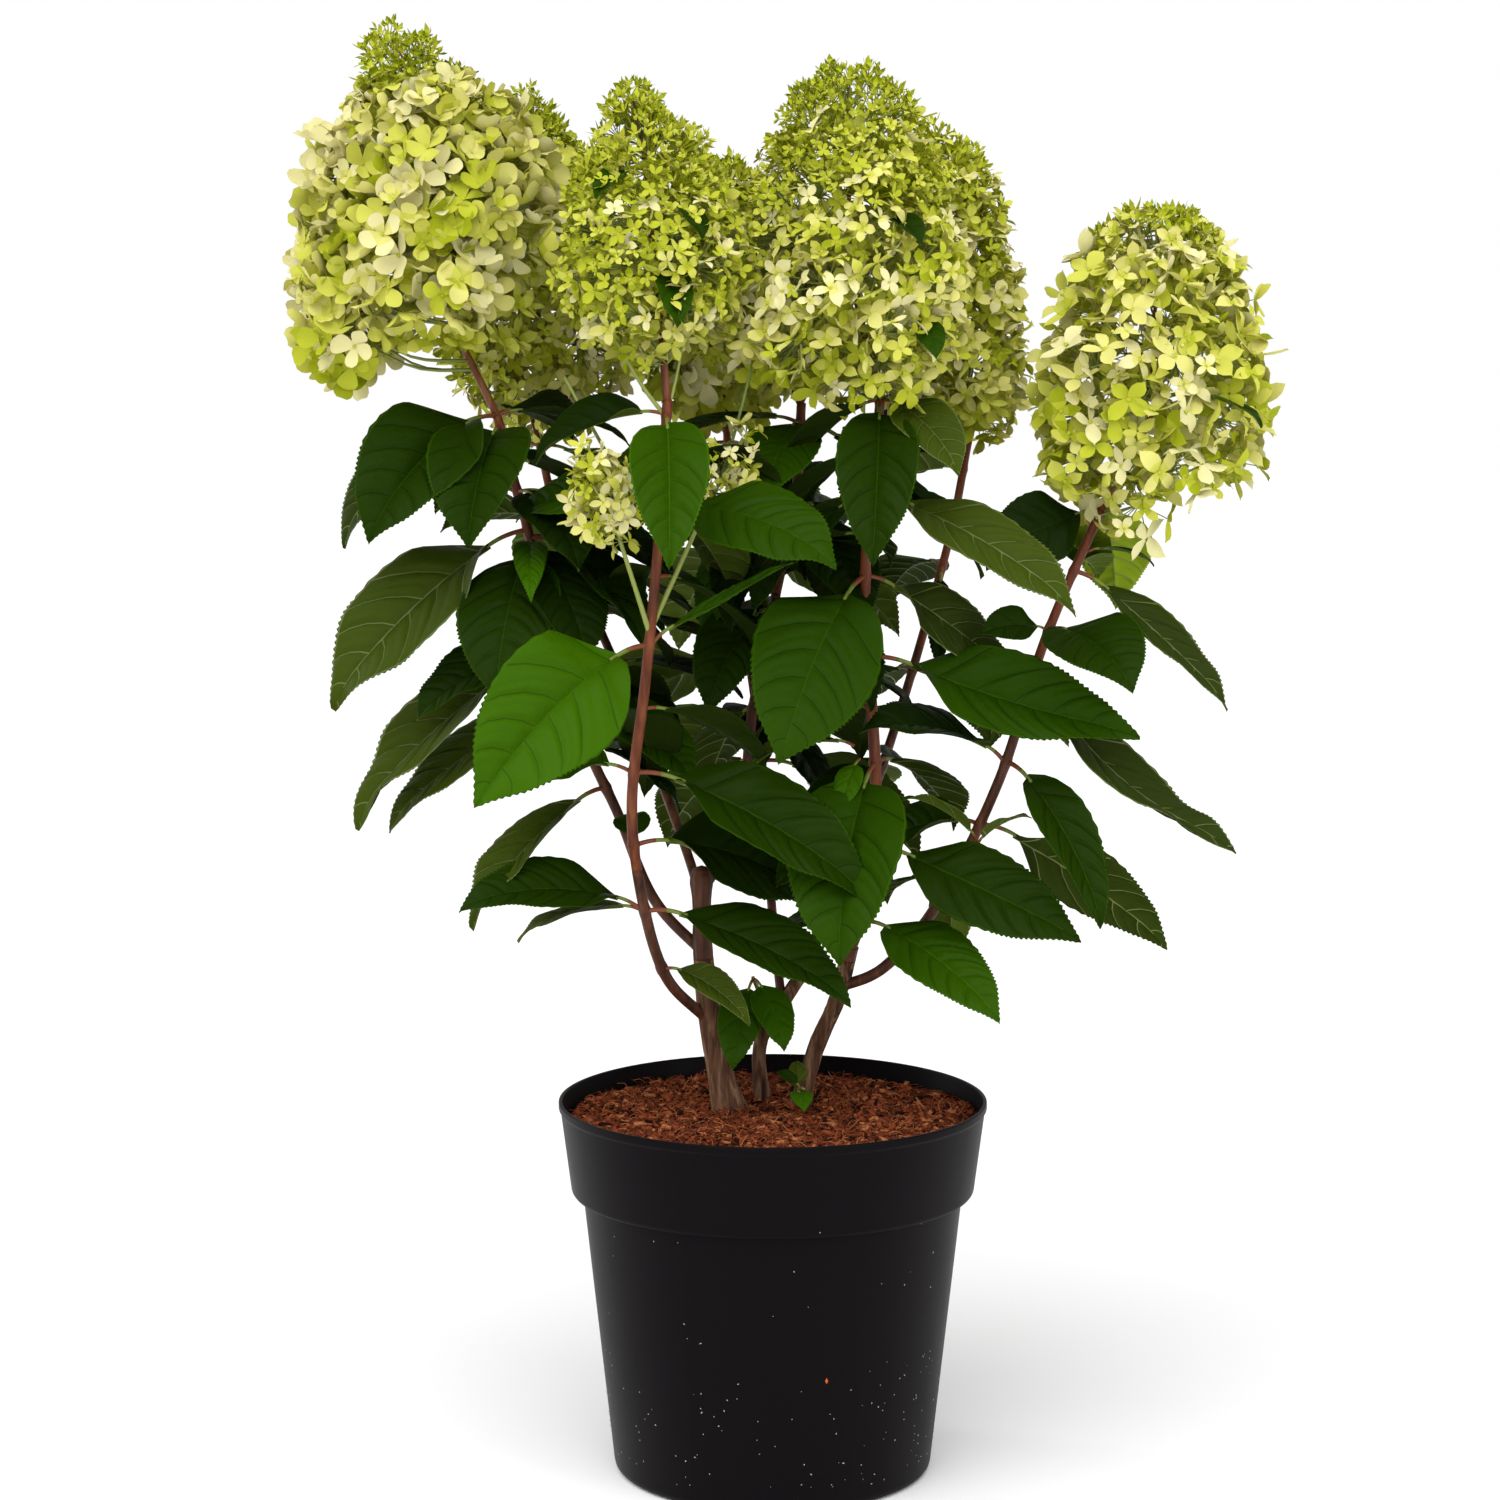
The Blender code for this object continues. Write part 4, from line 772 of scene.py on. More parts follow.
def smooth_path(points, step):
    """Points about a step apart on a smooth curve through the given points."""
    points = [np.array(p, float) for p in points]
    ends = [2 * points[0] - points[1], *points, 2 * points[-1] - points[-2]]
    fine = []
    for a, b, c, d in zip(ends, ends[1:], ends[2:], ends[3:]):
        for t in np.arange(CURVE_STEPS) / CURVE_STEPS:
            fine.append(0.5 * (2 * b + (c - a) * t + (2 * a - 5 * b + 4 * c - d) * t ** 2
                               + (3 * b - a - 3 * c + d) * t ** 3))
    fine = np.array([*fine, points[-1]])
    lengths = np.concatenate([[0.0], np.cumsum(np.linalg.norm(np.diff(fine, axis=0), axis=1))])
    count = max(2, round(lengths[-1] / step))
    places = np.linspace(0.0, lengths[-1], count + 1)
    return np.stack([np.interp(places, lengths, fine[:, k]) for k in range(3)], axis=1)


def point_at_height(path, height):
    """The point of a rising path at a height."""
    if height <= path[0][2]:
        return path[0].copy()
    for a, b in zip(path, path[1:]):
        if a[2] <= height <= b[2]:
            return a + (b - a) * (height - a[2]) / (b[2] - a[2])
    return path[-1].copy()


def frames(path):
    """Direction and two sides at each point of a path, without twist."""
    along = unit(np.gradient(path, axis=0))
    side = np.cross(along[0], (0.0, 0.0, 1.0) if abs(along[0][2]) < 0.9 else (1.0, 0.0, 0.0))
    sides = []
    for direction in along:
        side = side - direction * side.dot(direction)
        side = side / np.linalg.norm(side)
        sides.append(side)
    sides = np.array(sides)
    return along, sides, np.cross(along, sides)


def spokes_round(side, other, count):
    """Directions all round a path, at each of its points."""
    turns = np.arange(count) * 2 * math.pi / count
    return np.cos(turns)[None, :, None] * side[:, None, :] + np.sin(turns)[None, :, None] * other[:, None, :]


def add_tube(shape, path, radii, sides, paint, relief=None):
    """A closed tube; relief gives a radius factor from a point of the path and a spoke."""
    along, side, other = frames(path)
    spokes = spokes_round(side, other, sides)
    reach = np.repeat(np.asarray(radii, float)[:, None], sides, axis=1)
    if relief:
        reach = reach * np.array([[relief(p, spoke) for spoke in row] for p, row in zip(path, spokes)])
    points = path[:, None, :] + reach[:, :, None] * spokes
    count = len(path) * sides
    quads, caps = tube_faces(len(path), sides, 0, count, count + 1)
    ends = np.array([path[0], path[-1] + TIP_BULGE * radii[-1] * along[-1]])
    shape.add(np.concatenate([points.reshape(-1, 3), ends]), quads, caps, paint)


def add_taper(shape, path, first, last, sides, paint):
    """A closed tube whose radius goes evenly from the first to the last."""
    add_tube(shape, path, np.linspace(first, last, len(path)), sides, paint)


def add_threads(shape, starts, ends, radius, paint):
    """Many thin three-sided stalks at once."""
    starts, ends = np.asarray(starts), np.asarray(ends)
    along = unit(ends - starts)
    side = unit(np.cross(along, np.array([0.31, 0.52, 0.79])))
    spokes = spokes_round(side, np.cross(along, side), 3)
    points = np.stack([starts, ends], axis=1)[:, :, None, :] + radius * spokes[:, None, :, :]
    quads = np.array([(0, 1, 4, 3), (1, 2, 5, 4), (2, 0, 3, 5)])
    offsets = np.arange(len(starts)) * 6
    shape.add(points.reshape(-1, 3), copies(quads, offsets), None, paint)


def rough(scale, amount, streak, detail=3):
    """A radius factor from noise, drawn out along the height where streak is small."""
    def factor(point, spoke):
        place = Vector((spoke[0] * scale, spoke[1] * scale, point[2] * scale * 60 * streak))
        return 1.0 + amount * noise.fractal(place, 0.6, 2.0, detail)
    return factor


# Pot

def pot_outline():
    """The pot's outline of (radius, height, corner radius), foot outward and back inside."""
    ring_inside = BODY_FOOT_RADIUS - 0.55 * FOOT_ROUNDING - FOOT_RING_WIDTH
    floor_top = FOOT_HEIGHT + POT_FLOOR
    bead_foot = POT_HEIGHT - RIM_BEAD_HEIGHT
    return (
        (0.0, 0.0, 0.0),
        (CENTRE_FOOT_RADIUS, 0.0, FOOT_CORNER),
        (CENTRE_FOOT_RADIUS + FOOT_DRAFT, FOOT_HEIGHT, FOOT_CORNER),
        (ring_inside - FOOT_DRAFT, FOOT_HEIGHT, FOOT_CORNER),
        (ring_inside, 0.0, RING_CORNER),
        (BODY_FOOT_RADIUS - FOOT_CORNER, 0.0, BODY_FOOT_CORNER),
        (BODY_TOP_RADIUS, COLLAR_FOOT, STEP_CORNER),
        (COLLAR_FOOT_RADIUS, COLLAR_FOOT, COLLAR_FOOT_CORNER),
        (POT_RIM_RADIUS - COLLAR_CORNER, bead_foot - COLLAR_CORNER, BEAD_CORNER),
        (POT_RIM_RADIUS, bead_foot, BEAD_CORNER),
        (POT_RIM_RADIUS, POT_HEIGHT, RIM_CORNER),
        (POT_RIM_RADIUS - POT_WALL, POT_HEIGHT, RIM_CORNER),
        (COLLAR_FOOT_RADIUS - POT_WALL, COLLAR_FOOT + POT_WALL, INSIDE_CORNER),
        (BODY_TOP_RADIUS - POT_WALL, COLLAR_FOOT, INSIDE_CORNER),
        (BODY_FOOT_RADIUS - POT_WALL, floor_top, FLOOR_CORNER),
        (0.0, floor_top, 0.0),
    )


def rounded(outline, steps=5):
    """An outline with its corners rounded."""
    result = []
    for i, (x, z, radius) in enumerate(outline):
        corner = np.array([x, z])
        if radius == 0.0:
            result.append(corner)
            continue
        before = np.array(outline[i - 1][:2]) - corner
        after = np.array(outline[(i + 1) % len(outline)][:2]) - corner
        reach = min(radius, 0.48 * np.linalg.norm(before), 0.48 * np.linalg.norm(after))
        a = corner + reach * before / np.linalg.norm(before)
        b = corner + reach * after / np.linalg.norm(after)
        for k in range(steps):
            t = k / (steps - 1)
            result.append((1 - t) ** 2 * a + 2 * t * (1 - t) * corner + t ** 2 * b)
    return result


def notch_cutter():
    """Wedges that cut the drain notches out of the pot's foot."""
    reach = BODY_FOOT_RADIUS - 0.5 * NOTCH_DEPTH + CUT_MARGIN
    section = ((-0.5, -CUT_MARGIN), (0.5, -CUT_MARGIN), (0.44, NOTCH_HEIGHT), (-0.44, NOTCH_HEIGHT))
    faces = ((0, 1, 2, 3), (7, 6, 5, 4), (0, 4, 5, 1), (1, 5, 6, 2), (2, 6, 7, 3), (3, 7, 4, 0))
    cutters = Shape()
    for k in range(NOTCH_COUNT):
        out, across = level_ways(math.radians(FIRST_NOTCH_ANGLE + k * 360 / NOTCH_COUNT))
        corners = [(reach + u * NOTCH_DEPTH) * out + v * NOTCH_WIDTH * across + (0, 0, height)
                   for u in (-0.5, 0.5) for v, height in section]
        cutters.add(corners, faces, None, "pot_plastic")
    return cutters.piece("notch_cutter", [], "pot")


def build_pot():
    outline = rounded(pot_outline())
    turns = np.arange(POT_SIDES) * 2 * math.pi / POT_SIDES
    points = [(0.0, 0.0, outline[0][1])]
    for radius, height in outline[1:-1]:
        points += [(radius * math.cos(t), radius * math.sin(t), height) for t in turns]
    points.append((0.0, 0.0, outline[-1][1]))
    quads, caps = tube_faces(len(outline) - 2, POT_SIDES, 1, 0, len(points) - 1)
    shape = Shape()
    shape.add(points, quads, caps, "pot_plastic")
    pot = shape.piece("pot_shell", ["pot"], "pot", sharp=POT_SHARP_ANGLE)
    cutter = notch_cutter()
    cut = pot.modifiers.new("notches", "BOOLEAN")
    cut.operation = "DIFFERENCE"
    cut.solver = "EXACT"
    cut.object = cutter
    evaluated = pot.evaluated_get(bpy.context.evaluated_depsgraph_get())
    mesh = bpy.data.meshes.new_from_object(evaluated)
    pot.modifiers.clear()
    pot.data = mesh
    mesh.set_sharp_from_angle(angle=math.radians(POT_SHARP_ANGLE))
    bpy.data.objects.remove(cutter)


def pot_wall_at(height):
    """Radius of the pot's outside at a height."""
    if height < COLLAR_FOOT:
        return BODY_FOOT_RADIUS + (BODY_TOP_RADIUS - BODY_FOOT_RADIUS) * (height / COLLAR_FOOT)
    share = (height - COLLAR_FOOT) / COLLAR_HEIGHT
    return COLLAR_FOOT_RADIUS + (POT_RIM_RADIUS - COLLAR_CORNER - COLLAR_FOOT_RADIUS) * share


def build_dust():
    """Dust and crumbs that stick to the pot, more of them low down."""
    chance = random.Random(SEED + 9)
    shape = Shape()
    diamond = np.array([(1, 0, 0), (0, 1, 0), (-1, 0, 0), (0, -1, 0), (0, 0, 1), (0, 0, -1)], float)
    faces = np.array([(0, 1, 4), (1, 2, 4), (2, 3, 4), (3, 0, 4), (1, 0, 5), (2, 1, 5), (3, 2, 5), (0, 3, 5)])
    up = np.array([0.0, 0.0, 1.0])
    spots = []
    for _ in range(DUST_SPECKS):
        height = chance.uniform(DUST_FOOT, LOW_DUST_TOP if chance.random() < LOW_DUST else DUST_TOP)
        spots.append((any_turn(chance), height, chance.uniform(*DUST_SIZES), "dust"))
    spots += [(math.radians(compass), *rest) for compass, *rest in LARGE_SPECKS]
    for turn, height, size, paint in spots:
        out, across = level_ways(turn)
        spin = chance.uniform(0, math.pi)
        a = math.cos(spin) * across + math.sin(spin) * up
        b = math.cos(spin) * up - math.sin(spin) * across
        local = diamond * np.array([size * chance.uniform(1.0, 2.2), size, 0.35 * size])
        points = in_axes(local, a, b, out) + pot_wall_at(height) * out + height * up
        shape.add(points, None, faces, paint)
    shape.piece("pot_dust", [], "pot")


# Soil

def soil_height(x, y):
    """Height of the soil's rough top, with its crumbs banked up round the stems."""
    distance = min(math.hypot(x - points[0][0], y - points[0][1]) for points, _ in STEMS.values())
    level = SOIL_HEIGHT + SOIL_MOUND * (1 - (math.hypot(x, y) / POT_RIM_RADIUS) ** 2)
    broad = 0.0034 * noise.fractal(Vector((x * 38, y * 38, 3.1)), 0.8, 2.0, 3)
    crumbs = 0.0022 * noise.fractal(Vector((x * 150, y * 150, 7.7)), 0.6, 2.0, 4)
    hollow = 0.0045 * math.exp(-(x ** 2 + (y + 0.004) ** 2) / 0.010 ** 2)
    near = math.exp(-(distance / 0.014) ** 2)
    return level + broad + crumbs * (1 + near) - hollow


def level_spot(chance, reach):
    """A random place on the soil, out to a reach from the middle."""
    radius = reach * math.sqrt(chance.random())
    turn = any_turn(chance)
    return radius * math.cos(turn), radius * math.sin(turn)


def build_soil():
    """The soil's top; returns the radius of its edge at the pot's wall."""
    wall = COLLAR_FOOT_RADIUS - POT_WALL
    flare = POT_RIM_RADIUS - COLLAR_FOOT_RADIUS
    edge = wall + flare * (SOIL_HEIGHT - POT_HEIGHT + COLLAR_HEIGHT) / COLLAR_HEIGHT
    points = [(0.0, 0.0, soil_height(0.0, 0.0))]
    for i in range(1, SOIL_RINGS + 1):
        radius = edge * i / SOIL_RINGS
        for k in range(SOIL_SIDES):
            turn = 2 * math.pi * (k + 0.5 * (i % 2)) / SOIL_SIDES
            x, y = radius * math.cos(turn), radius * math.sin(turn)
            points.append((x, y, soil_height(x, y)))
    for k in range(SOIL_SIDES):
        turn = 2 * math.pi * k / SOIL_SIDES
        points.append((edge * math.cos(turn), edge * math.sin(turn), SOIL_HEIGHT - SOIL_SKIRT))
    index = 1 + np.arange((SOIL_RINGS + 1) * SOIL_SIDES).reshape(SOIL_RINGS + 1, SOIL_SIDES)
    nexts = np.roll(index, -1, axis=1)
    quads = np.stack([index[:-1], index[1:], nexts[1:], nexts[:-1]], axis=-1).reshape(-1, 4)
    shape = Shape()
    shape.add(points, quads, [(0, index[0, k], nexts[0, k]) for k in range(SOIL_SIDES)], "soil_ground")
    shape.piece("soil_top", ["soil"], "soil")
    return edge


def add_chips(edge, chance):
    """Chips of bark on the soil."""
    paints = ("crumb_dark", "crumb_brown", "crumb_brown", "crumb_red", "crumb_red", "crumb_tan")
    chips = Shape()
    box = np.array([(x, y, z) for x in (-1, 1) for y in (-1, 1) for z in (-1, 1)], float)
    faces = ((0, 1, 3, 2), (4, 6, 7, 5), (0, 4, 5, 1), (2, 3, 7, 6), (0, 2, 6, 4), (1, 5, 7, 3))
    for _ in range(CHIPS):
        x, y = level_spot(chance, edge - 0.002)
        long = chance.choice(CHIP_LENGTHS)
        size = np.array([long, long * chance.uniform(0.3, 0.6), long * chance.uniform(0.15, 0.4)])
        spin, tilt = any_turn(chance), chance.gauss(0.0, 0.35)
        a = slanted(spin, tilt)
        b = unit(np.cross((0, 0, 1), a) + (0, 0, chance.gauss(0, 0.3)))
        c = np.cross(a, b)
        local = box * size * np.array([chance.uniform(0.6, 1.2) for _ in range(24)]).reshape(8, 3)
        lift = soil_height(x, y) + 0.3 * size[0] * abs(math.sin(tilt)) + 0.0003
        chips.add(in_axes(local, a, b, c) + (x, y, lift), faces, None, chance.choice(paints))
    chips.piece("soil_chips", [], "soil")


def add_fibres(edge, chance):
    """Bent fibres on the soil."""
    fibres = Shape()
    for _ in range(FIBRES):
        x, y = level_spot(chance, edge - 0.003)
        spin, tilt = any_turn(chance), chance.gauss(0.15, 0.30)
        long = chance.uniform(*FIBRE_LENGTHS)
        way = slanted(spin, tilt)
        start = np.array([x, y, soil_height(x, y) + 0.0004])
        end = start + long * way
        if math.hypot(end[0], end[1]) > edge - 0.001:
            end = start - long * np.array([way[0], way[1], -abs(way[2])])
        end[2] = max(end[2], soil_height(end[0], end[1]))
        bend = 0.5 * (start + end) + (chance.gauss(0, 0.12 * long), chance.gauss(0, 0.12 * long), 0.18 * long)
        add_threads(fibres, [start, bend], [bend, end], chance.uniform(*FIBRE_RADII),
                    chance.choice(("crumb_red", "crumb_tan", "crumb_brown", "crumb_red")))
    fibres.piece("soil_fibres", [], "soil")


# Leaves

def blade_half_width(share):
    """Half width of a blade of length 1: rounded at the foot, drawn out at the tip."""
    peak = LEAF_FOOT_POWER / (LEAF_FOOT_POWER + LEAF_TIP_POWER)
    widest = peak ** LEAF_FOOT_POWER * (1 - peak) ** LEAF_TIP_POWER
    plain = 0.5 * LEAF_WIDTH * share ** LEAF_FOOT_POWER * (1 - share) ** LEAF_TIP_POWER / widest
    drawn = np.clip((share - 0.80) / 0.20, 0, 1)
    return plain * (1 - 0.30 * drawn ** 2 * (3 - 2 * drawn))


def rib_line(root, compass, fall, length, roll, bend):
    """Points along petiole and rib, their share of the blade, and its side and upper side there."""
    level, across = level_ways(math.radians(compass))
    fall, roll, bend, rise = map(math.radians, (fall, roll, bend, PETIOLE_RISE))
    petiole = PETIOLE_RATIO * length
    blade = length - petiole
    reach = np.linspace(0.0, length, LEAF_STEPS + 1)
    middle = 0.5 * (reach[1:] + reach[:-1])
    slope = np.where(middle < petiole, bend - fall + rise * (1 - middle / petiole),
                     -fall + bend * (1 - 2 * (middle - petiole) / blade))
    moves = np.cos(slope)[:, None] * level + np.sin(slope)[:, None] * np.array([0.0, 0.0, 1.0])
    line = np.concatenate([[root], root + np.cumsum(moves, axis=0) * length / LEAF_STEPS])
    along = unit(np.gradient(line, axis=0))
    above = np.cross(along, across)
    share = (reach - petiole) / blade
    turned = roll * np.clip(share / ROLL_SHARE, 0, 1)
    side = np.cos(turned)[:, None] * across + np.sin(turned)[:, None] * above
    return line, share, side, np.cross(along, side)


def blade_slots(shape, rows, columns, tone, under, plain):
    """A paint for each face: dark veins, a paler rib and edge on top, pale ridges below. On the greens the
    veins' darker tone is painted shade in their grooves.
    """
    middle = columns // 2
    ribbed = np.zeros((rows, columns), bool)
    ribbed[:int(rows * 0.9), middle - 1:middle + 1] = True
    veined = np.zeros((rows, columns), bool)
    if not plain:
        row_veins = np.arange(rows) % len(VEIN_ROWS)
        veined[row_veins == LEFT_VEIN_ROW, 1:middle - 1] = True
        veined[row_veins == RIGHT_VEIN_ROW, middle + 1:-1] = True
    if tone in OLIVE_TONES:
        paler = darker = "rib_olive"
    else:
        rank = TONES.index(tone) if tone in TONES else TONES.index("mid")
        paler = "leaf_" + TONES[min(rank + 1, len(TONES) - 1)]
        darker = "leaf_" + TONES[max(rank - 1, 0)]
    upper = np.full((rows, columns), shape.slot("leaf_" + tone))
    # The veins a tone darker: painted shade in their grooves
    upper[veined] = shape.slot(darker)
    upper[ribbed] = shape.slot(paler)
    upper[:, (0, -1)] = shape.slot(paler)
    low_rib = "under_dull" if plain else "rib_under"
    lower = np.where(ribbed | veined, shape.slot(low_rib), shape.slot(under))
    return np.concatenate([upper.ravel(), lower.ravel()])


def add_leaf(shape, stalks, root, compass, fall, length, roll, chance, tone, under, width=1.0, bend=LEAF_BEND,
             plain=False):
    """A leaf with its petiole, ribs, veins, teeth and underside."""
    line, share, side, above = rib_line(root, compass, fall, length, roll, bend)
    petiole = PETIOLE_RATIO * length
    blade = length - petiole
    size = length / WHOLE_LEAF

    # u runs along the blade and t across it; a place moves up to follow the slanted veins
    veins = LEAF_VEINS if length > SMALL_LEAF else LEAF_VEINS // 2
    stops = PLAIN_ROWS if plain else VEIN_ROWS
    u = np.array([(k + stop) / veins for k in range(veins) for stop in stops] + [1.0])[:, None]
    t = np.array([-c for c in reversed(LEAF_COLUMNS[1:])] + list(LEAF_COLUMNS))[None, :]
    place = u + VEIN_SLANT * np.abs(t) ** 1.35 * (1 - u) * np.clip(u / 0.26, 0, 1)
    half = blade_half_width(np.clip(place, 0, 1)) * blade * width
    teeth = np.isin(np.round(u * veins % 1, 3), TOOTH_ROWS) \
        * (np.abs(t) > 0.99) * np.clip(np.sin(math.pi * u), 0, 1) ** 0.4
    half = half + teeth * TOOTH * min(1.0, size)
    place = place + teeth * TOOTH_LEAN

    # the skin bulges between the veins, sinks at them and at the rib, and waves at the edge
    phase = u * veins + 0.5 + 0.25 * np.sign(t)
    off_vein = np.abs(phase - np.floor(phase) - 0.5)
    quilt = 0.45 * np.sin(math.pi * np.clip(2 * off_vein, 0, 1)) ** 0.6 - np.exp(-(off_vein / 0.11) ** 2)
    inner = np.clip(np.abs(t) / 0.12, 0, 1) * (1 - np.abs(t) ** 4)
    relief = VEIN_DEPTH * size * quilt * inner * np.clip((0.93 - u) / 0.2, 0, 1) * np.clip(u / 0.06, 0, 1)
    near_middle = np.exp(-(t / 0.05) ** 2)
    groove = GROOVE_DEPTH * size * near_middle * (1 - 0.6 * u)
    wave = chance.uniform(*WAVE_HEIGHTS) * size * t ** 2 * np.sin(
        2 * math.pi * (chance.uniform(1.2, 2.0) * u + chance.random() + 0.25 * np.sign(t)))
    fold = math.radians(chance.choice(FOLDS) + chance.uniform(-3, 3))
    lift = half * np.abs(t) * math.sin(fold) - 0.10 * half * np.abs(t) ** 3 + relief - groove + wave
    lift = lift - 0.05 * blade * np.clip((place - 0.78) / 0.22, 0, 1) ** 2
    sway = chance.uniform(-0.03, 0.03) * blade
    rib_offset = np.sign(t) * np.minimum(0.4 * half, RIB_HALF_WIDTH * size * (1 - 0.6 * u))
    offset = np.where(np.abs(t) == LEAF_COLUMNS[1], rib_offset, half * t)
    sideways = offset * math.cos(fold) + sway * place ** 2 * (1 + 0 * t)

    def at(values):
        return np.stack([np.interp(place, share, values[:, k]) for k in range(3)], axis=-1)

    sides, aboves = unit(at(side)), unit(at(above))
    upper = at(line) + sideways[..., None] * sides + lift[..., None] * aboves
    rib = RIB_DEPTH * size * near_middle * (1 - 0.7 * u)
    ridges = RIDGE_DEPTH * size * (off_vein < 0.10) * inner
    lower = upper - (BLADE_THICKNESS + rib + ridges)[..., None] * aboves

    index = np.arange(u.size * t.size).reshape(u.size, t.size)
    below = index + u.size * t.size
    below[:, 0], below[:, -1] = index[:, 0], index[:, -1]
    faces = np.concatenate([np.roll(grid_faces(index), -1, axis=1), grid_faces(below)[:, ::-1]])
    slots = blade_slots(shape, u.size - 1, t.size - 1, tone, under, plain)
    shape.add(np.concatenate([upper.reshape(-1, 3), lower.reshape(-1, 3)]), faces, None, None, slots)

    cut = int(LEAF_STEPS * (petiole + 0.05 * blade) / length)
    stem = line[:cut + 1:3]
    radii = np.linspace(1.25, 0.95, len(stem)) * PETIOLE_RADIUS * min(1.0, 0.45 + 0.55 * size)
    half_way = len(stem) // 2 + 1
    add_tube(stalks, stem[:half_way], radii[:half_way], PETIOLE_SIDES, "petiole_red")
    add_tube(stalks, stem[half_way - 1:], radii[half_way - 1:], PETIOLE_SIDES, "petiole_green")


def inner_leaves(name, path, rows, chance):
    """Smaller, darker leaves between the pairs, that close the inside of the crown; their darkness is painted
    shade.
    """
    for (low, *_), (high, *_) in zip(rows, rows[1:]):
        if name not in INNER_CANES or low < INNER_FOOT:
            continue
        node = point_at_height(path, low + INNER_SHARE * (high - low))
        inward = math.degrees(math.atan2(CROWN_MIDDLE[1] - node[1], CROWN_MIDDLE[0] - node[0]))
        for side in (-1, 1):
            compass = inward + side * chance.uniform(8, 44)
            yield node, compass, chance.uniform(14, 44), chance.uniform(*INNER_LENGTHS)


def leaf_tone(root, compass, length, chance):
    """A leaf's green: fresher high up and outside, darker low down and inside, partly the young leaves' own
    green and partly painted light and painted shade.
    """
    facing = -math.sin(math.radians(compass))
    score = 0.9 * (root[2] - 0.42) / 0.25 + 0.5 * abs(facing) + chance.gauss(0, 0.55)
    if length < SMALL_LEAF:
        score += 1.0
    return TONES[int(min(4, max(0, 1.6 + 1.1 * score)))]


# Stems, canes and foliage

def build_stems():
    """The stems as closed tubes with bark; returns their paths above the soil."""
    shape = Shape()
    paths = {}
    coarse = rough(2.2, 0.10, 0.10)
    fine = rough(7.0, 0.10, 0.06, 4)

    def bark_relief(point, spoke):
        return coarse(point, spoke) * fine(point, spoke)

    for name, (points, (first, last)) in STEMS.items():
        foot = (*points[0], SOIL_HEIGHT - STEM_SUNK)
        ground = (*points[0], SOIL_HEIGHT + SOIL_MOUND)
        paths[name] = smooth_path((ground, *points[1:]), RING_STEP * 0.5)
        path = smooth_path((foot, *points[1:]), STEM_STEP)
        share = np.linspace(0, 1, len(path))
        near = np.clip(1 - (path[:, 2] - SOIL_HEIGHT - SOIL_MOUND) / STEM_FLARE_HEIGHT, 0, 1.2)
        slim = last + (first * (1 - STEM_FLARE) - last) * (1 - share)
        radii = np.maximum(last, slim) + first * STEM_FLARE * near ** 2
        if name == "trunk_left":
            knob = np.clip((share - 0.86) / 0.08, 0, 1) * np.clip((1.0 - share) / 0.03, 0.25, 1)
            radii = radii * (1 + 0.35 * knob)
        bark = next((i for i, p in enumerate(path) if p[2] > OLD_BARK_TO), len(path) - 1)
        add_tube(shape, path[:bark + 1], radii[:bark + 1], STEM_SIDES, "old_bark", bark_relief)
        if bark < len(path) - 2:
            add_tube(shape, path[bark:], radii[bark:], STEM_SIDES, "cane_old", bark_relief)
    shape.piece("stems", list(STEMS), "trunk")
    return paths


def build_canes():
    """The canes as whole limbs with a swelling at each node; returns their paths."""
    shape = Shape()
    shoots = {}
    skin = rough(3.0, 0.045, 0.10)
    for name, (points, (first, last)) in CANES.items():
        start = np.array(points[0])
        behind = unit(np.array(points[1]) - start)
        sunk = start - SINKS.get(name, USUAL_SINK) * behind
        path = smooth_path((sunk, *points[1:]), FINE_STEP)
        share = np.linspace(0, 1, len(path))
        radii = CANE_SLIMNESS * (first + (last - first) * share)
        for height, *_ in LEAF_PAIRS[name]:
            radii = radii * (1 + NODE_SWELLING * np.exp(-((path[:, 2] - height) / NODE_HALF_HEIGHT) ** 2))
        old = int(len(path) * OLD_SHARES.get(name, USUAL_OLD_SHARE))
        add_tube(shape, path[:old + 1], radii[:old + 1], CANE_SIDES, "cane_old", skin)
        add_tube(shape, path[old:], radii[old:], CANE_SIDES, "cane", skin)
        shoots[name] = smooth_path(points, RING_STEP)
    boughs = [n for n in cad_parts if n.startswith("bough_")]
    shape.piece("canes", boughs, "bough")
    return shoots


def build_twigs(stem_paths):
    """The low leafy twigs; returns each one's path and its rows of leaves."""
    twigs = Shape()
    rows_by_twig = {}
    for name, (stem, height, tip, radius, leaves) in TWIGS.items():
        root = point_at_height(stem_paths[stem], height)
        tip = np.array(tip)
        middle = root + 0.5 * (tip - root) + (0, 0, TWIG_BOW)
        path = smooth_path((root, middle, tip), TWIG_STEP)
        add_taper(twigs, path, radius, SLIMMER * radius, STALK_SIDES, "petiole_green")
        rows_by_twig[name] = (path, [((root + share * (tip - root))[2], leaf) for share, *leaf in leaves])
    return twigs, rows_by_twig


def own(given, *usual):
    """A leaf's own roll, width, tone and bend where it has them."""
    given = (*given, *(None,) * (4 - len(given)))
    return [value if kept is None else kept for kept, value in zip(given, usual)]


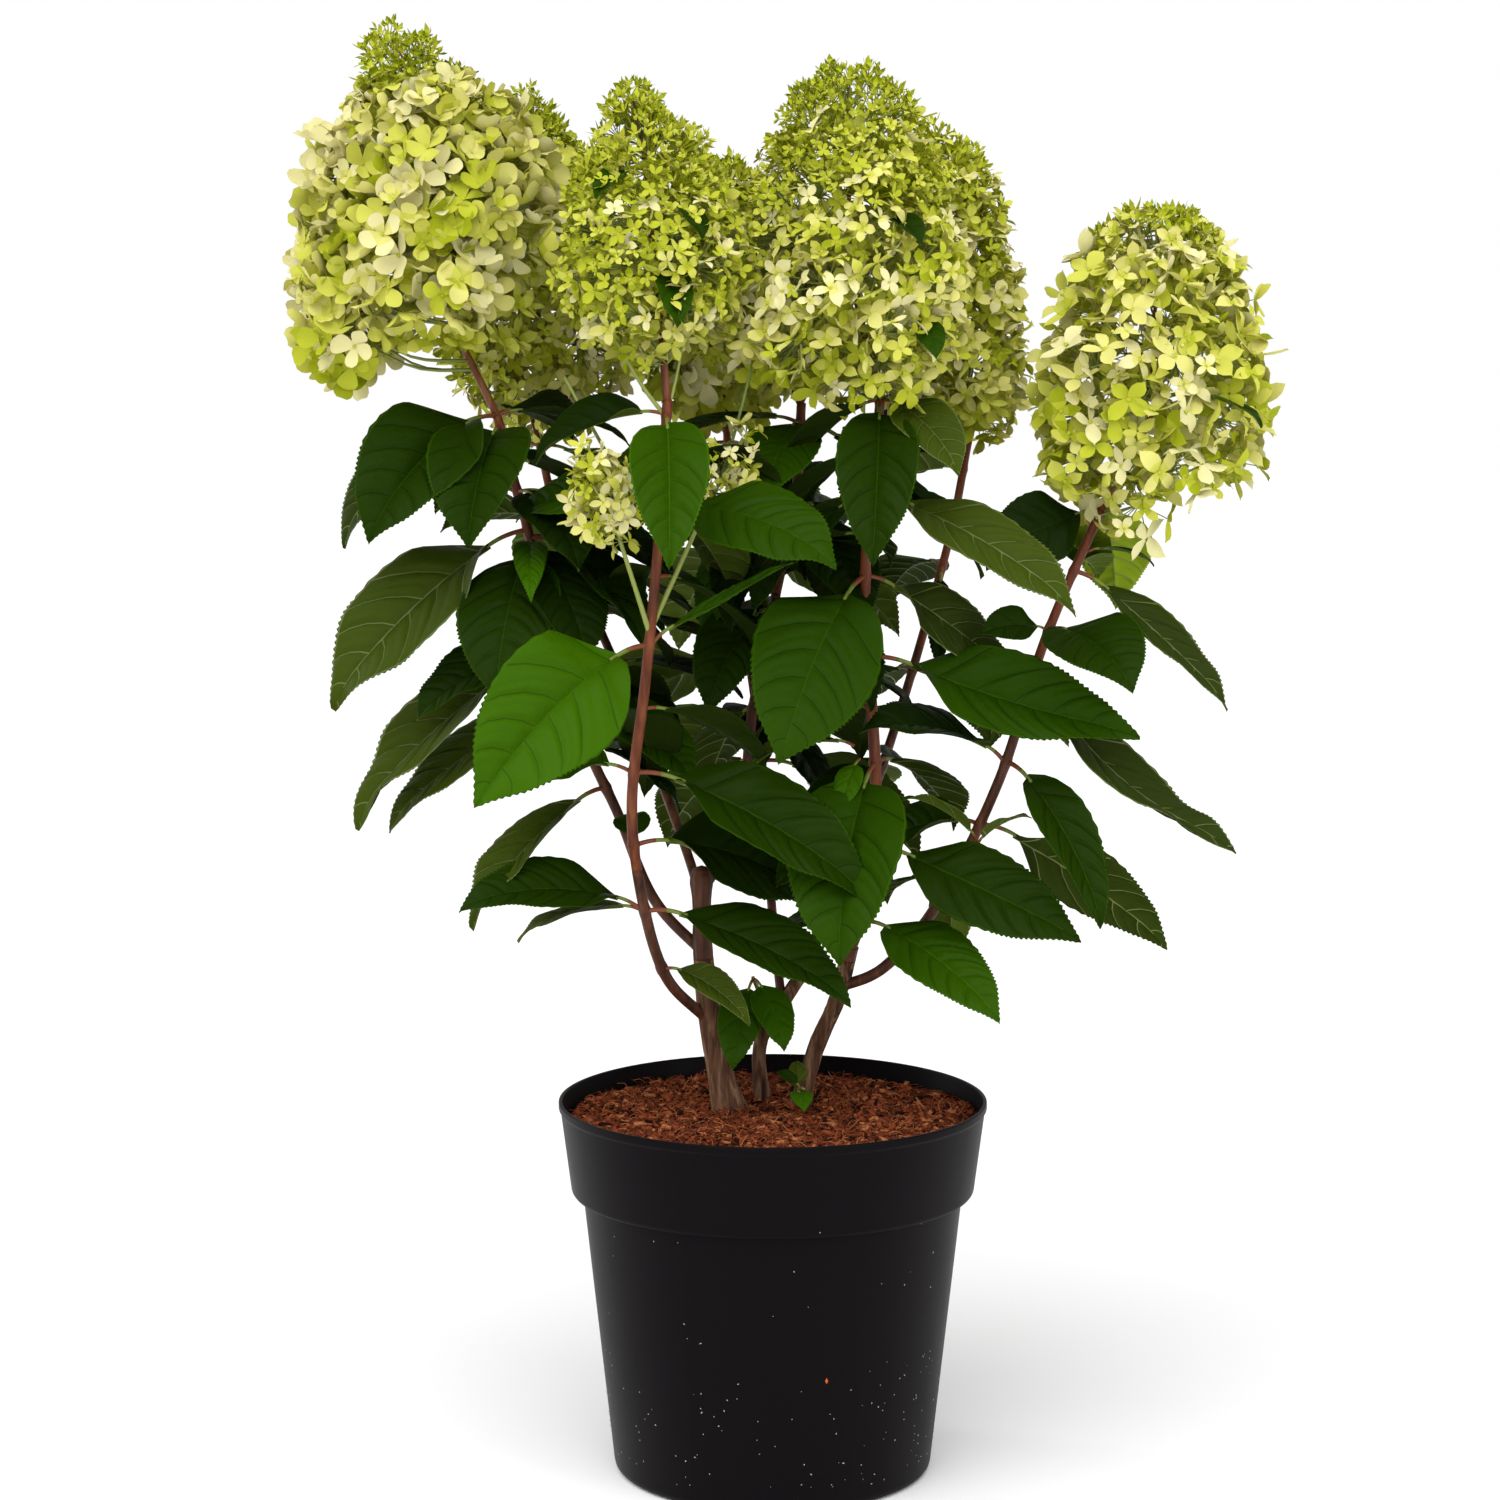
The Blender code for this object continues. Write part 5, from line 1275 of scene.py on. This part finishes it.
def build_foliage(stem_paths, shoots):
    order = random.Random(SEED + 2)
    chance = random.Random(SEED + 3)
    twigs, rows_by_twig = build_twigs(stem_paths)
    rows_by_mass = {name: (path, LEAF_PAIRS[name]) for name, path in shoots.items()}
    for name, (path, rows) in {**rows_by_mass, **rows_by_twig}.items():
        shape, stalks = Shape(), Shape()
        light = 1 if path[-1][1] < BACK_SIDE else -1
        for height, *leaves in rows:
            node = point_at_height(path, height)
            for compass, fall, length, *given in leaves:
                away, _ = level_ways(math.radians(compass))
                roll, width, tone, bend = own(
                    given, LIGHT_ROLL * away[0] * light + order.uniform(-LOOSE_ROLL, LOOSE_ROLL),
                    chance.uniform(0.86, 1.02), leaf_tone(node, compass, length, chance), LEAF_BEND)
                under = "under_lit" if tone == "lit" else chance.choice(("under_fresh", "under_dull"))
                add_leaf(shape, stalks, node + LEAF_ROOT * away, compass, fall, length, roll, chance,
                         tone, under, width, bend)
        if name in CANES:
            for node, compass, fall, length in inner_leaves(name, path, rows, chance):
                # The darkest greens and a dark underside: painted shade of the crown's inside
                tone = chance.choice(("dark", "dark", "deep"))
                add_leaf(shape, stalks, node, compass, fall, length, chance.uniform(-30, 30), chance, tone,
                         "under_dark", plain=True)
        shape.piece("leaves_" + name, ["foliage_" + name], "foliage")
        stalks.piece("petioles_" + name, [], "foliage")
    twigs.piece("low_twigs", [], "foliage")
    shape, stalks = Shape(), Shape()
    for point, compass, fall, length, tone in BRACTS:
        add_leaf(shape, stalks, np.array(point), compass, fall, length, chance.uniform(-20, 20), chance, tone,
                 "under_fresh")
    shape.piece("leaves_bracts", [], "foliage")
    stalks.piece("petioles_bracts", [], "foliage")


# Florets

def sepal(outline, width, cup, curl, rows, columns):
    """A sepal's points and faces along +X from the middle, with a part number for each face."""
    a = (0.06 + 0.94 * np.linspace(0, 1, rows + 1) ** (0.66 if columns > 2 else 0.85))[:, None]
    t = np.linspace(-1.0, 1.0, columns + 1)[None, :]
    places, widths = zip(*outline)
    half = width * np.interp(a, places, widths)
    x = a * (1 - 0.07 * t ** 2 * a ** 3)
    y = half * t
    z = cup * a ** 1.6 - curl * a ** 3 + 0.22 * np.abs(y) * np.abs(t) - 0.03 * (1 - np.abs(t)) * a
    points = np.stack([x + 0 * t, y, z], axis=-1).reshape(-1, 3)
    index = np.arange((rows + 1) * (columns + 1)).reshape(rows + 1, columns + 1)
    parts = np.where(np.arange(rows) < max(1, rows // 3), THROAT, BODY)
    return points, grid_faces(index), np.repeat(parts, columns)


class Template:
    """A floret of radius 1 that faces +Z: quads of its sepals with their parts, triangles of its eye."""

    def __init__(self, chance, outline, rows, columns, cups):
        count = 5 if chance.random() < 0.12 else 4
        points, quads, parts = [], [], []
        total = 0
        spin = any_turn(chance)
        cup = chance.uniform(*cups)
        for k in range(count):
            width = chance.uniform(0.86, 1.12)
            curl = chance.uniform(-0.12, 0.42)
            p, q, n = sepal(outline, width, cup + chance.uniform(-0.16, 0.16), curl, rows, columns)
            p = p * chance.uniform(0.80, 1.06)
            p[:, 2] += 0.03 * (k % 2) + chance.uniform(-0.45, 0.45) * p[:, 1]
            turn = spin + 2 * math.pi * k / count + chance.uniform(-0.20, 0.20)
            c, s = math.cos(turn), math.sin(turn)
            points.append(np.stack([c * p[:, 0] - s * p[:, 1], s * p[:, 0] + c * p[:, 1], p[:, 2]], axis=1))
            quads.append(q + total)
            parts.append(n)
            total += len(p)
        eye = np.array([(1, 0, 0), (0, 1, 0), (-1, 0, 0), (0, -1, 0), (0, 0, 1.1)], float)
        points.append((0.11 if rows > 2 else 0.20) * eye + (0, 0, 0.05))
        self.points = np.concatenate(points)
        self.quads = np.concatenate(quads)
        self.parts = np.concatenate(parts)
        self.triangles = np.array([(0, 1, 4), (1, 2, 4), (2, 3, 4), (3, 0, 4)]) + total


class Bead:
    """A closed bud of radius 1, with six sides."""

    def __init__(self):
        points = [(math.cos(t) * math.cos(e), math.sin(t) * math.cos(e), math.sin(e))
                  for e in (-0.5, 0.5) for t in [math.pi / 3 * k for k in range(6)]]
        self.points = np.array(points + [(0, 0, -1), (0, 0, 1.1)])
        self.quads = np.array([(k, (k + 1) % 6, 6 + (k + 1) % 6, 6 + k) for k in range(6)])
        self.parts = np.full(6, BODY)
        below = [((k + 1) % 6, k, 12) for k in range(6)]
        self.triangles = np.array(below + [(6 + k, 6 + (k + 1) % 6, 13) for k in range(6)])


def scatter(shape, template, places, axes, scales, paints):
    """Copies of a floret: paints gives sepal, throat and eye for each one."""
    count = len(places)
    across = unit(np.cross(axes, np.array([0.27, 0.61, 0.74])))
    other = np.cross(axes, across)
    basis = np.stack([across, other, axes], axis=1) * np.asarray(scales)[:, None, None]
    points = np.einsum("nj,kji->kni", template.points, basis) + np.asarray(places)[:, None, :]
    offsets = np.arange(count) * len(template.points)
    slots = np.array([[shape.slot(p) for p in row] for row in paints])
    quads = copies(template.quads, offsets)
    triangles = copies(template.triangles, offsets)
    quad_slots = np.where(template.parts[None] == THROAT, slots[:, 1:2], slots[:, 0:1]).ravel()
    triangle_slots = np.repeat(slots[:, 2], len(template.triangles))
    shape.add(points.reshape(-1, 3), quads, triangles, None, quad_slots, triangle_slots)


def floret_paints(big, cream, share, open_sky, chance):
    """Sepal, throat and eye paints of a floret; a large one is paler where it gets more light, as painted
    light, and greener where it gets less, as painted shade.
    """
    # More cream where the floret faces up and out: painted light; less cream, so more lime, where it faces
    # down and in: painted shade
    cream = cream * (0.45 + 0.85 * open_sky)
    if big:
        pale = ("petal_cream", "petal_cream", "petal_pale", "petal_pale", "petal_soft")
        lime = ("petal_pale", "petal_soft", "petal_soft", "petal_lime", "petal_lime", "petal_green")
        body = chance.choice(pale if chance.random() < cream else lime)
        return body, PETAL_TONES[min(PETAL_TONES.index(body) + chance.randrange(2), 3)], "petal_lime"
    body = chance.choice(("petal_soft", "petal_soft", "petal_lime", "petal_lime", "petal_green"))
    if share > 0.8:
        body = chance.choice(("petal_lime", "petal_green", "petal_green", "petal_deep"))
    return body, "petal_lime", "petal_pale"


# Heads of blossom

class Head:
    """A head of blossom: foot, top, half width, shape of the top and nod of the tip."""

    def __init__(self, chance, foot, top, half_width, fullness=1.0, nod=0.0):
        self.foot = np.array(foot)
        self.axis = np.array(top) - self.foot
        self.length = np.linalg.norm(self.axis)
        self.up = self.axis / self.length
        self.side = unit(np.cross(self.up, (0.0, 1.0, 0.0)))
        self.other = np.cross(self.up, self.side)
        self.half_width = half_width
        self.fullness = fullness
        self.nod = np.array([nod, 0.0, 0.0])
        self.lumps = [any_turn(chance) for _ in range(3)]

    def centre(self, share):
        return self.foot + share * self.axis + max(0.0, share) ** NOD_POWER * self.nod

    def width(self, share):
        places, widths = zip(*HEAD_OUTLINE)
        return self.half_width * float(np.interp(share, places, widths)) ** self.fullness

    def closed_width(self, share):
        """The width, closed to a point at the top."""
        near = clamped((share - 0.86) / 0.15)
        return self.width(share) * math.sqrt(max(0.0, 1 - near ** 2))

    def lump(self, share, turn):
        a, b, c = self.lumps
        return 1 + 0.055 * math.sin(3 * turn + a + 7 * share) + 0.05 * math.sin(5 * turn + b - 11 * share) \
            + 0.03 * math.sin(2 * turn + c + 19 * share)

    def across(self, turn):
        return math.cos(turn) * self.side + math.sin(turn) * self.other


class Cluster:
    """A side branch's round cluster of florets."""

    def __init__(self, centre, radius, share, out):
        self.centre = centre
        self.radius = radius
        self.share = share
        self.out = out


def head_clusters(name, head, floret, chance):
    """The clusters of a head, in staggered rings that get finer towards its top."""
    tilt, lift = SKIRTS.get(name, (0.0, -1.0))
    clusters = []
    share, row = 0.015, 0
    while share < 1.0:
        high = clamped((share - 0.60) / 0.32)
        radius = max(LEAST_CLUSTER, CLUSTER_SHARE * head.half_width * (1 - 0.66 * high))
        radius = min(radius, max(LEAST_CLUSTER, 0.9 * head.closed_width(share)))
        ring = head.closed_width(share) - 0.95 * radius - 0.35 * floret
        ring = 0.0 if ring < 0.5 * radius else ring
        around = max(1, round(2 * math.pi * ring / (1.45 * radius)))
        for k in range(around):
            turn = 2 * math.pi * (k + 0.5 * (row % 2) + chance.uniform(-0.16, 0.16)) / around + 0.9 * row
            size = radius * chance.uniform(0.82, 1.22)
            here = clamped(share + chance.uniform(-0.28, 0.28) * radius / head.length)
            reach = ring * head.lump(here, turn) * chance.uniform(0.90, 1.05) if around > 1 else 0.0
            out = unit(head.across(turn) * (1 if around > 1 else 0.1) + (0.25 + 0.9 * high) * head.up)
            centre = head.centre(here) + reach * head.across(turn)
            if centre[2] - head.foot[2] >= lift + tilt * (centre[0] - head.foot[0]):
                clusters.append(Cluster(centre, size, here, out))
        share += 1.38 * radius / head.length
        row += 1
    return clusters


def sphere_directions(count, spin):
    """Directions spread evenly over a sphere."""
    k = np.arange(count) + 0.5
    height = 1 - 2 * k / count
    turn = k * GOLDEN_ANGLE + spin
    level = np.sqrt(1 - height ** 2)
    return np.stack([level * np.cos(turn), level * np.sin(turn), height], axis=1)


def scattered(direction, spread, chance):
    """A direction with some chance in it."""
    return unit(direction + np.array([chance.gauss(0, spread) for _ in range(3)]))


class Bloom:
    """A head in the making: its stalks, its florets by template, and the pedicels that carry them."""

    def __init__(self, name, head, tip):
        self.name = name
        self.head = head
        self.chance = random.Random("head " + name)
        self.form, self.ripe, self.radius, self.cream, self.band = OPENING[name]
        self.small = min(SMALL_RADIUS, 0.75 * self.radius)
        self.is_side = name.startswith("side_")
        self.thick = SIDE_AXIS_RADIUS if self.is_side else AXIS_RADIUS
        self.stalks = Shape()
        self.florets = {}
        self.starts, self.ends = [], []
        shares = (0.30, 0.45, 0.60, 0.78, 0.95)
        self.spine = smooth_path([tip, *[head.centre(s) for s in shares]], RAY_STEP)
        add_taper(self.stalks, self.spine, self.thick, AXIS_TIP_RADIUS, STALK_SIDES,
                  "ray" if self.is_side else "peduncle")
        for start, end, ray_radius, paint in RAYS.get(name, ()):
            ray = smooth_path((start, 0.5 * (np.array(start) + end) + (0, 0, -0.003), end), RAY_STEP)
            add_taper(self.stalks, ray, ray_radius, SLIMMER * ray_radius, RAY_SIDES, paint)

    def put(self, key, *floret):
        """Keeps a floret's place, axis, size and paints for its template."""
        self.florets.setdefault(key, []).append(floret)

    def add_branch(self, cluster):
        """The ray from the axis to a cluster; returns the knot where its pedicels start."""
        head, chance = self.head, self.chance
        start_share = cluster.share - 0.10 - 0.25 * cluster.radius / head.length
        start = self.spine[np.argmin(np.linalg.norm(self.spine - head.centre(start_share), axis=1))]
        knot = cluster.centre - 0.35 * cluster.radius * cluster.out
        middle = start + 0.55 * (knot - start) - 0.10 * np.linalg.norm(knot - start) * head.up
        ray = smooth_path((start, middle, knot), BRANCH_STEP)
        foot = self.thick * (0.50 if cluster.share < 0.3 else 0.36)
        add_taper(self.stalks, ray, foot, 0.5 * foot, BRANCH_SIDES,
                  "ray" if chance.random() < 0.6 else "ray_dark")
        return knot

    def fill_cluster(self, cluster, knot, centres, radii):
        """A cluster's florets and beads, left out where another cluster takes their place."""
        head, chance, is_side = self.head, self.chance, self.is_side
        opened = clamped((self.ripe - cluster.share) / self.band + 0.5 + chance.gauss(0, 0.14))
        usual_size = self.small + (self.radius - self.small) * opened
        pitch = (2.9 if is_side else 1.16 if self.form == "broad" else 1.24) * usual_size
        count = int(4 * math.pi * cluster.radius ** 2 / pitch ** 2) + 3
        cream = self.cream * chance.uniform(0.5, 1.6)
        lift = 0.40 + (0.9 if usual_size < LARGE_FROM and cluster.share > 0.75 else 0.25 * cluster.share)
        for direction in sphere_directions(count, chance.uniform(0, 6)):
            if direction.dot(cluster.out) < (-0.9 if is_side else -0.30):
                continue
            place = cluster.centre + direction * cluster.radius * chance.uniform(0.80, 1.08)
            if np.any(np.linalg.norm(centres - place, axis=1) - 0.84 * radii < 0):
                continue
            size = usual_size * chance.choice(SIZE_FACTORS) * (0.8 if opened == 0 else 1.0)
            if opened == 0 and chance.random() < 0.05 and cluster.share < 0.85:
                size = self.radius
            reach = 1.1 * size
            if np.any(place - reach < cad_box[0]) or np.any(place + reach > cad_box[1]):
                continue
            big = size > LARGE_FROM or (is_side and size > 0.006)
            axis = scattered(direction + lift * head.up, 0.56, chance)
            # How much the floret faces up and out of its cluster, for its painted light and painted shade
            open_sky = 0.5 + 0.5 * (0.6 * direction[2] + 0.4 * direction.dot(cluster.out))
            kind = self.form if big else "bud" if cluster.share > min(self.ripe + 0.35, 0.86) else "small"
            key = (kind, chance.randrange(TEMPLATES))
            self.put(key, place, axis, size, floret_paints(big, cream, cluster.share, open_sky, chance))
            self.starts.append(knot)
            self.ends.append(place)
            if chance.random() < BEAD_SHARE:
                way = scattered(direction, BEAD_SPREAD, chance)
                bead = cluster.centre + way * cluster.radius * chance.uniform(0.80, 1.02)
                self.put(("bead", 0), bead, direction, chance.uniform(*BEAD_RADII), ("petal_pale",) * 3)
                self.starts.append(knot)
                self.ends.append(bead)

    def add_clusters(self):
        clusters = head_clusters(self.name, self.head, self.radius, self.chance)
        centres = np.array([c.centre for c in clusters])
        radii = np.array([c.radius for c in clusters])
        for number, cluster in enumerate(clusters):
            if 0.80 < cluster.share < 0.95 and not self.is_side and self.chance.random() < 0.22:
                continue
            knot = self.add_branch(cluster)
            others = np.delete(np.arange(len(clusters)), number)
            self.fill_cluster(cluster, knot, centres[others], radii[others])

    def add_inner_layer(self):
        """A loose inner layer, so that the head isn't seen through."""
        head, chance = self.head, self.chance
        spacing = 0.013 if self.form == "broad" else 0.019
        share = 0.06
        while share < 0.88:
            width = 0.62 * head.width(share)
            for _ in range(max(3, round(2 * math.pi * width / spacing))):
                turn = any_turn(chance)
                place = head.centre(share) + width * chance.uniform(0.75, 1.1) * head.across(turn)
                if place[2] < head.foot[2] + 0.02 and self.name in SKIRTS:
                    continue
                axis = scattered(head.across(turn) + 0.5 * head.up, 0.3, chance)
                self.put(("small", chance.randrange(TEMPLATES)), place, axis, INNER_RADIUS,
                         ("petal_soft", "petal_lime", "petal_green"))
            share += INNER_STEP / head.length

    def finish(self, templates):
        """The head's two pieces: its florets and its stalks."""
        florets = Shape()
        for (kind, number), items in sorted(self.florets.items()):
            places, axes, sizes, paints = zip(*items)
            scatter(florets, templates[kind][number], places, np.array(axes), sizes, paints)
        half = len(self.starts) // 2
        add_threads(self.stalks, self.starts[:half], self.ends[:half], PEDICEL_RADIUS, "ray")
        add_threads(self.stalks, self.starts[half:], self.ends[half:], GREEN_PEDICEL_RADIUS, "petal_green")
        florets.piece("florets_" + self.name, ["blossom_" + self.name], "blossom")
        self.stalks.piece("stalks_" + self.name, [], "blossom")


def build_head(name, head, tip, templates):
    """A head's axis, rays, pedicels, buds and florets, from the tip of its cane."""
    bloom = Bloom(name, head, tip)
    bloom.add_clusters()
    if not bloom.is_side:
        bloom.add_inner_layer()
    bloom.finish(templates)


def build_blossom(shoots):
    chance = random.Random(SEED + 4)
    templates = {
        kind: [Template(chance, outline, rows, columns, cups) for _ in range(TEMPLATES)]
        for kind, outline, rows, columns, cups in (
            ("broad", BROAD_SEPAL, 4, 4, (0.05, 0.80)),
            ("oval", OVAL_SEPAL, 4, 2, (0.05, 0.50)),
            ("small", OVAL_SEPAL, 3, 1, (0.20, 0.70)),
            ("bud", OVAL_SEPAL, 2, 1, (0.75, 1.30)),
        )
    }
    templates["bead"] = [Bead()]
    for name, (cane, *form) in HEADS.items():
        build_head(name, Head(chance, *form), shoots[cane][-1], templates)
    for name, (cane, height, foot, top, half_width) in SIDE_HEADS.items():
        head = Head(chance, foot, top, half_width)
        path = smooth_path((point_at_height(shoots[cane], height), head.foot), SIDE_STALK_STEP)
        shape = Shape()
        add_taper(shape, path, SIDE_STALK_RADIUS, SIDE_AXIS_RADIUS, STALK_SIDES, "ray")
        shape.piece("stalk_" + name, [], "blossom")
        build_head(name, head, head.foot, templates)


# Floor, light and camera

def add_lamp(name, kind, way, energy):
    """A light that shines along a way, and its object."""
    light = bpy.data.lights.new(name, kind)
    light.energy = energy
    lamp = link(name, light)
    lamp.rotation_euler = Vector(way).to_track_quat("-Z", "Y").to_euler()
    return light, lamp


def area_light(name, place, size, energy):
    light, lamp = add_lamp(name, "AREA", Vector(LIGHT_TARGET) - Vector(place), energy)
    light.shape = "RECTANGLE"
    light.size, light.size_y = size
    lamp.location = place


def build_floor():
    mesh = bpy.data.meshes.new("floor")
    corners = [(x * FLOOR_REACH, y * FLOOR_REACH, 0) for x, y in ((-1, -1), (1, -1), (1, 1), (-1, 1))]
    mesh.from_pydata(corners, [], [(0, 1, 2, 3)])
    paint = Paint("floor_white", (255, 255, 255), 0.9, 0.1)
    paint.set("Base Color", FLOOR_COLOUR)
    mesh.materials.append(paint.material)
    floor = link("floor", mesh)
    floor.location.z = -FLOOR_DROP
    floor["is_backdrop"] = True


def build_stage():
    """A white floor in front of a white backdrop, a broad sun and two area lights."""
    build_floor()
    bpy.context.scene.view_settings.view_transform = "Standard"
    world = bpy.data.worlds.new("studio")
    world.use_nodes = True
    tree = world.node_tree
    ambient = tree.nodes["Background"]
    backdrop = tree.nodes.new("ShaderNodeBackground")
    for background, strength in ((ambient, AMBIENT), (backdrop, 1.0)):
        background.inputs["Color"].default_value = (1.0, 1.0, 1.0, 1.0)
        background.inputs["Strength"].default_value = strength
    rays = tree.nodes.new("ShaderNodeLightPath")
    mix = tree.nodes.new("ShaderNodeMixShader")
    tree.links.new(rays.outputs["Is Camera Ray"], mix.inputs[0])
    tree.links.new(ambient.outputs[0], mix.inputs[1])
    tree.links.new(backdrop.outputs[0], mix.inputs[2])
    tree.links.new(mix.outputs[0], tree.nodes["World Output"].inputs["Surface"])
    bpy.context.scene.world = world
    key, _ = add_lamp("key", "SUN", SUN_WAY, SUN_STRENGTH)
    key.angle = math.radians(SUN_SPREAD)
    for light in AREA_LIGHTS:
        area_light(*light)


def build_camera():
    """The camera that was fitted to the pot in the photograph."""
    camera = bpy.data.cameras.new("camera")
    camera.sensor_width = SENSOR_WIDTH
    camera.lens = LENS
    camera.clip_start = 0.05
    camera.clip_end = 50.0
    view = link("camera", camera)
    view.location = CAMERA_PLACE
    view.rotation_euler = (math.radians(CAMERA_TILT), 0.0, 0.0)
    bpy.context.scene.camera = view


build_camera()
build_stage()
build_pot()
build_dust()
soil_edge = build_soil()
soil_chance = random.Random(SEED + 5)
add_chips(soil_edge, soil_chance)
add_fibres(soil_edge, soil_chance)
stem_paths = build_stems()
shoot_paths = build_canes()
build_foliage(stem_paths, shoot_paths)
build_blossom(shoot_paths)

look_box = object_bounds()
[[list(map(float, corner)) for corner in box] for box in (cad_box, look_box)]
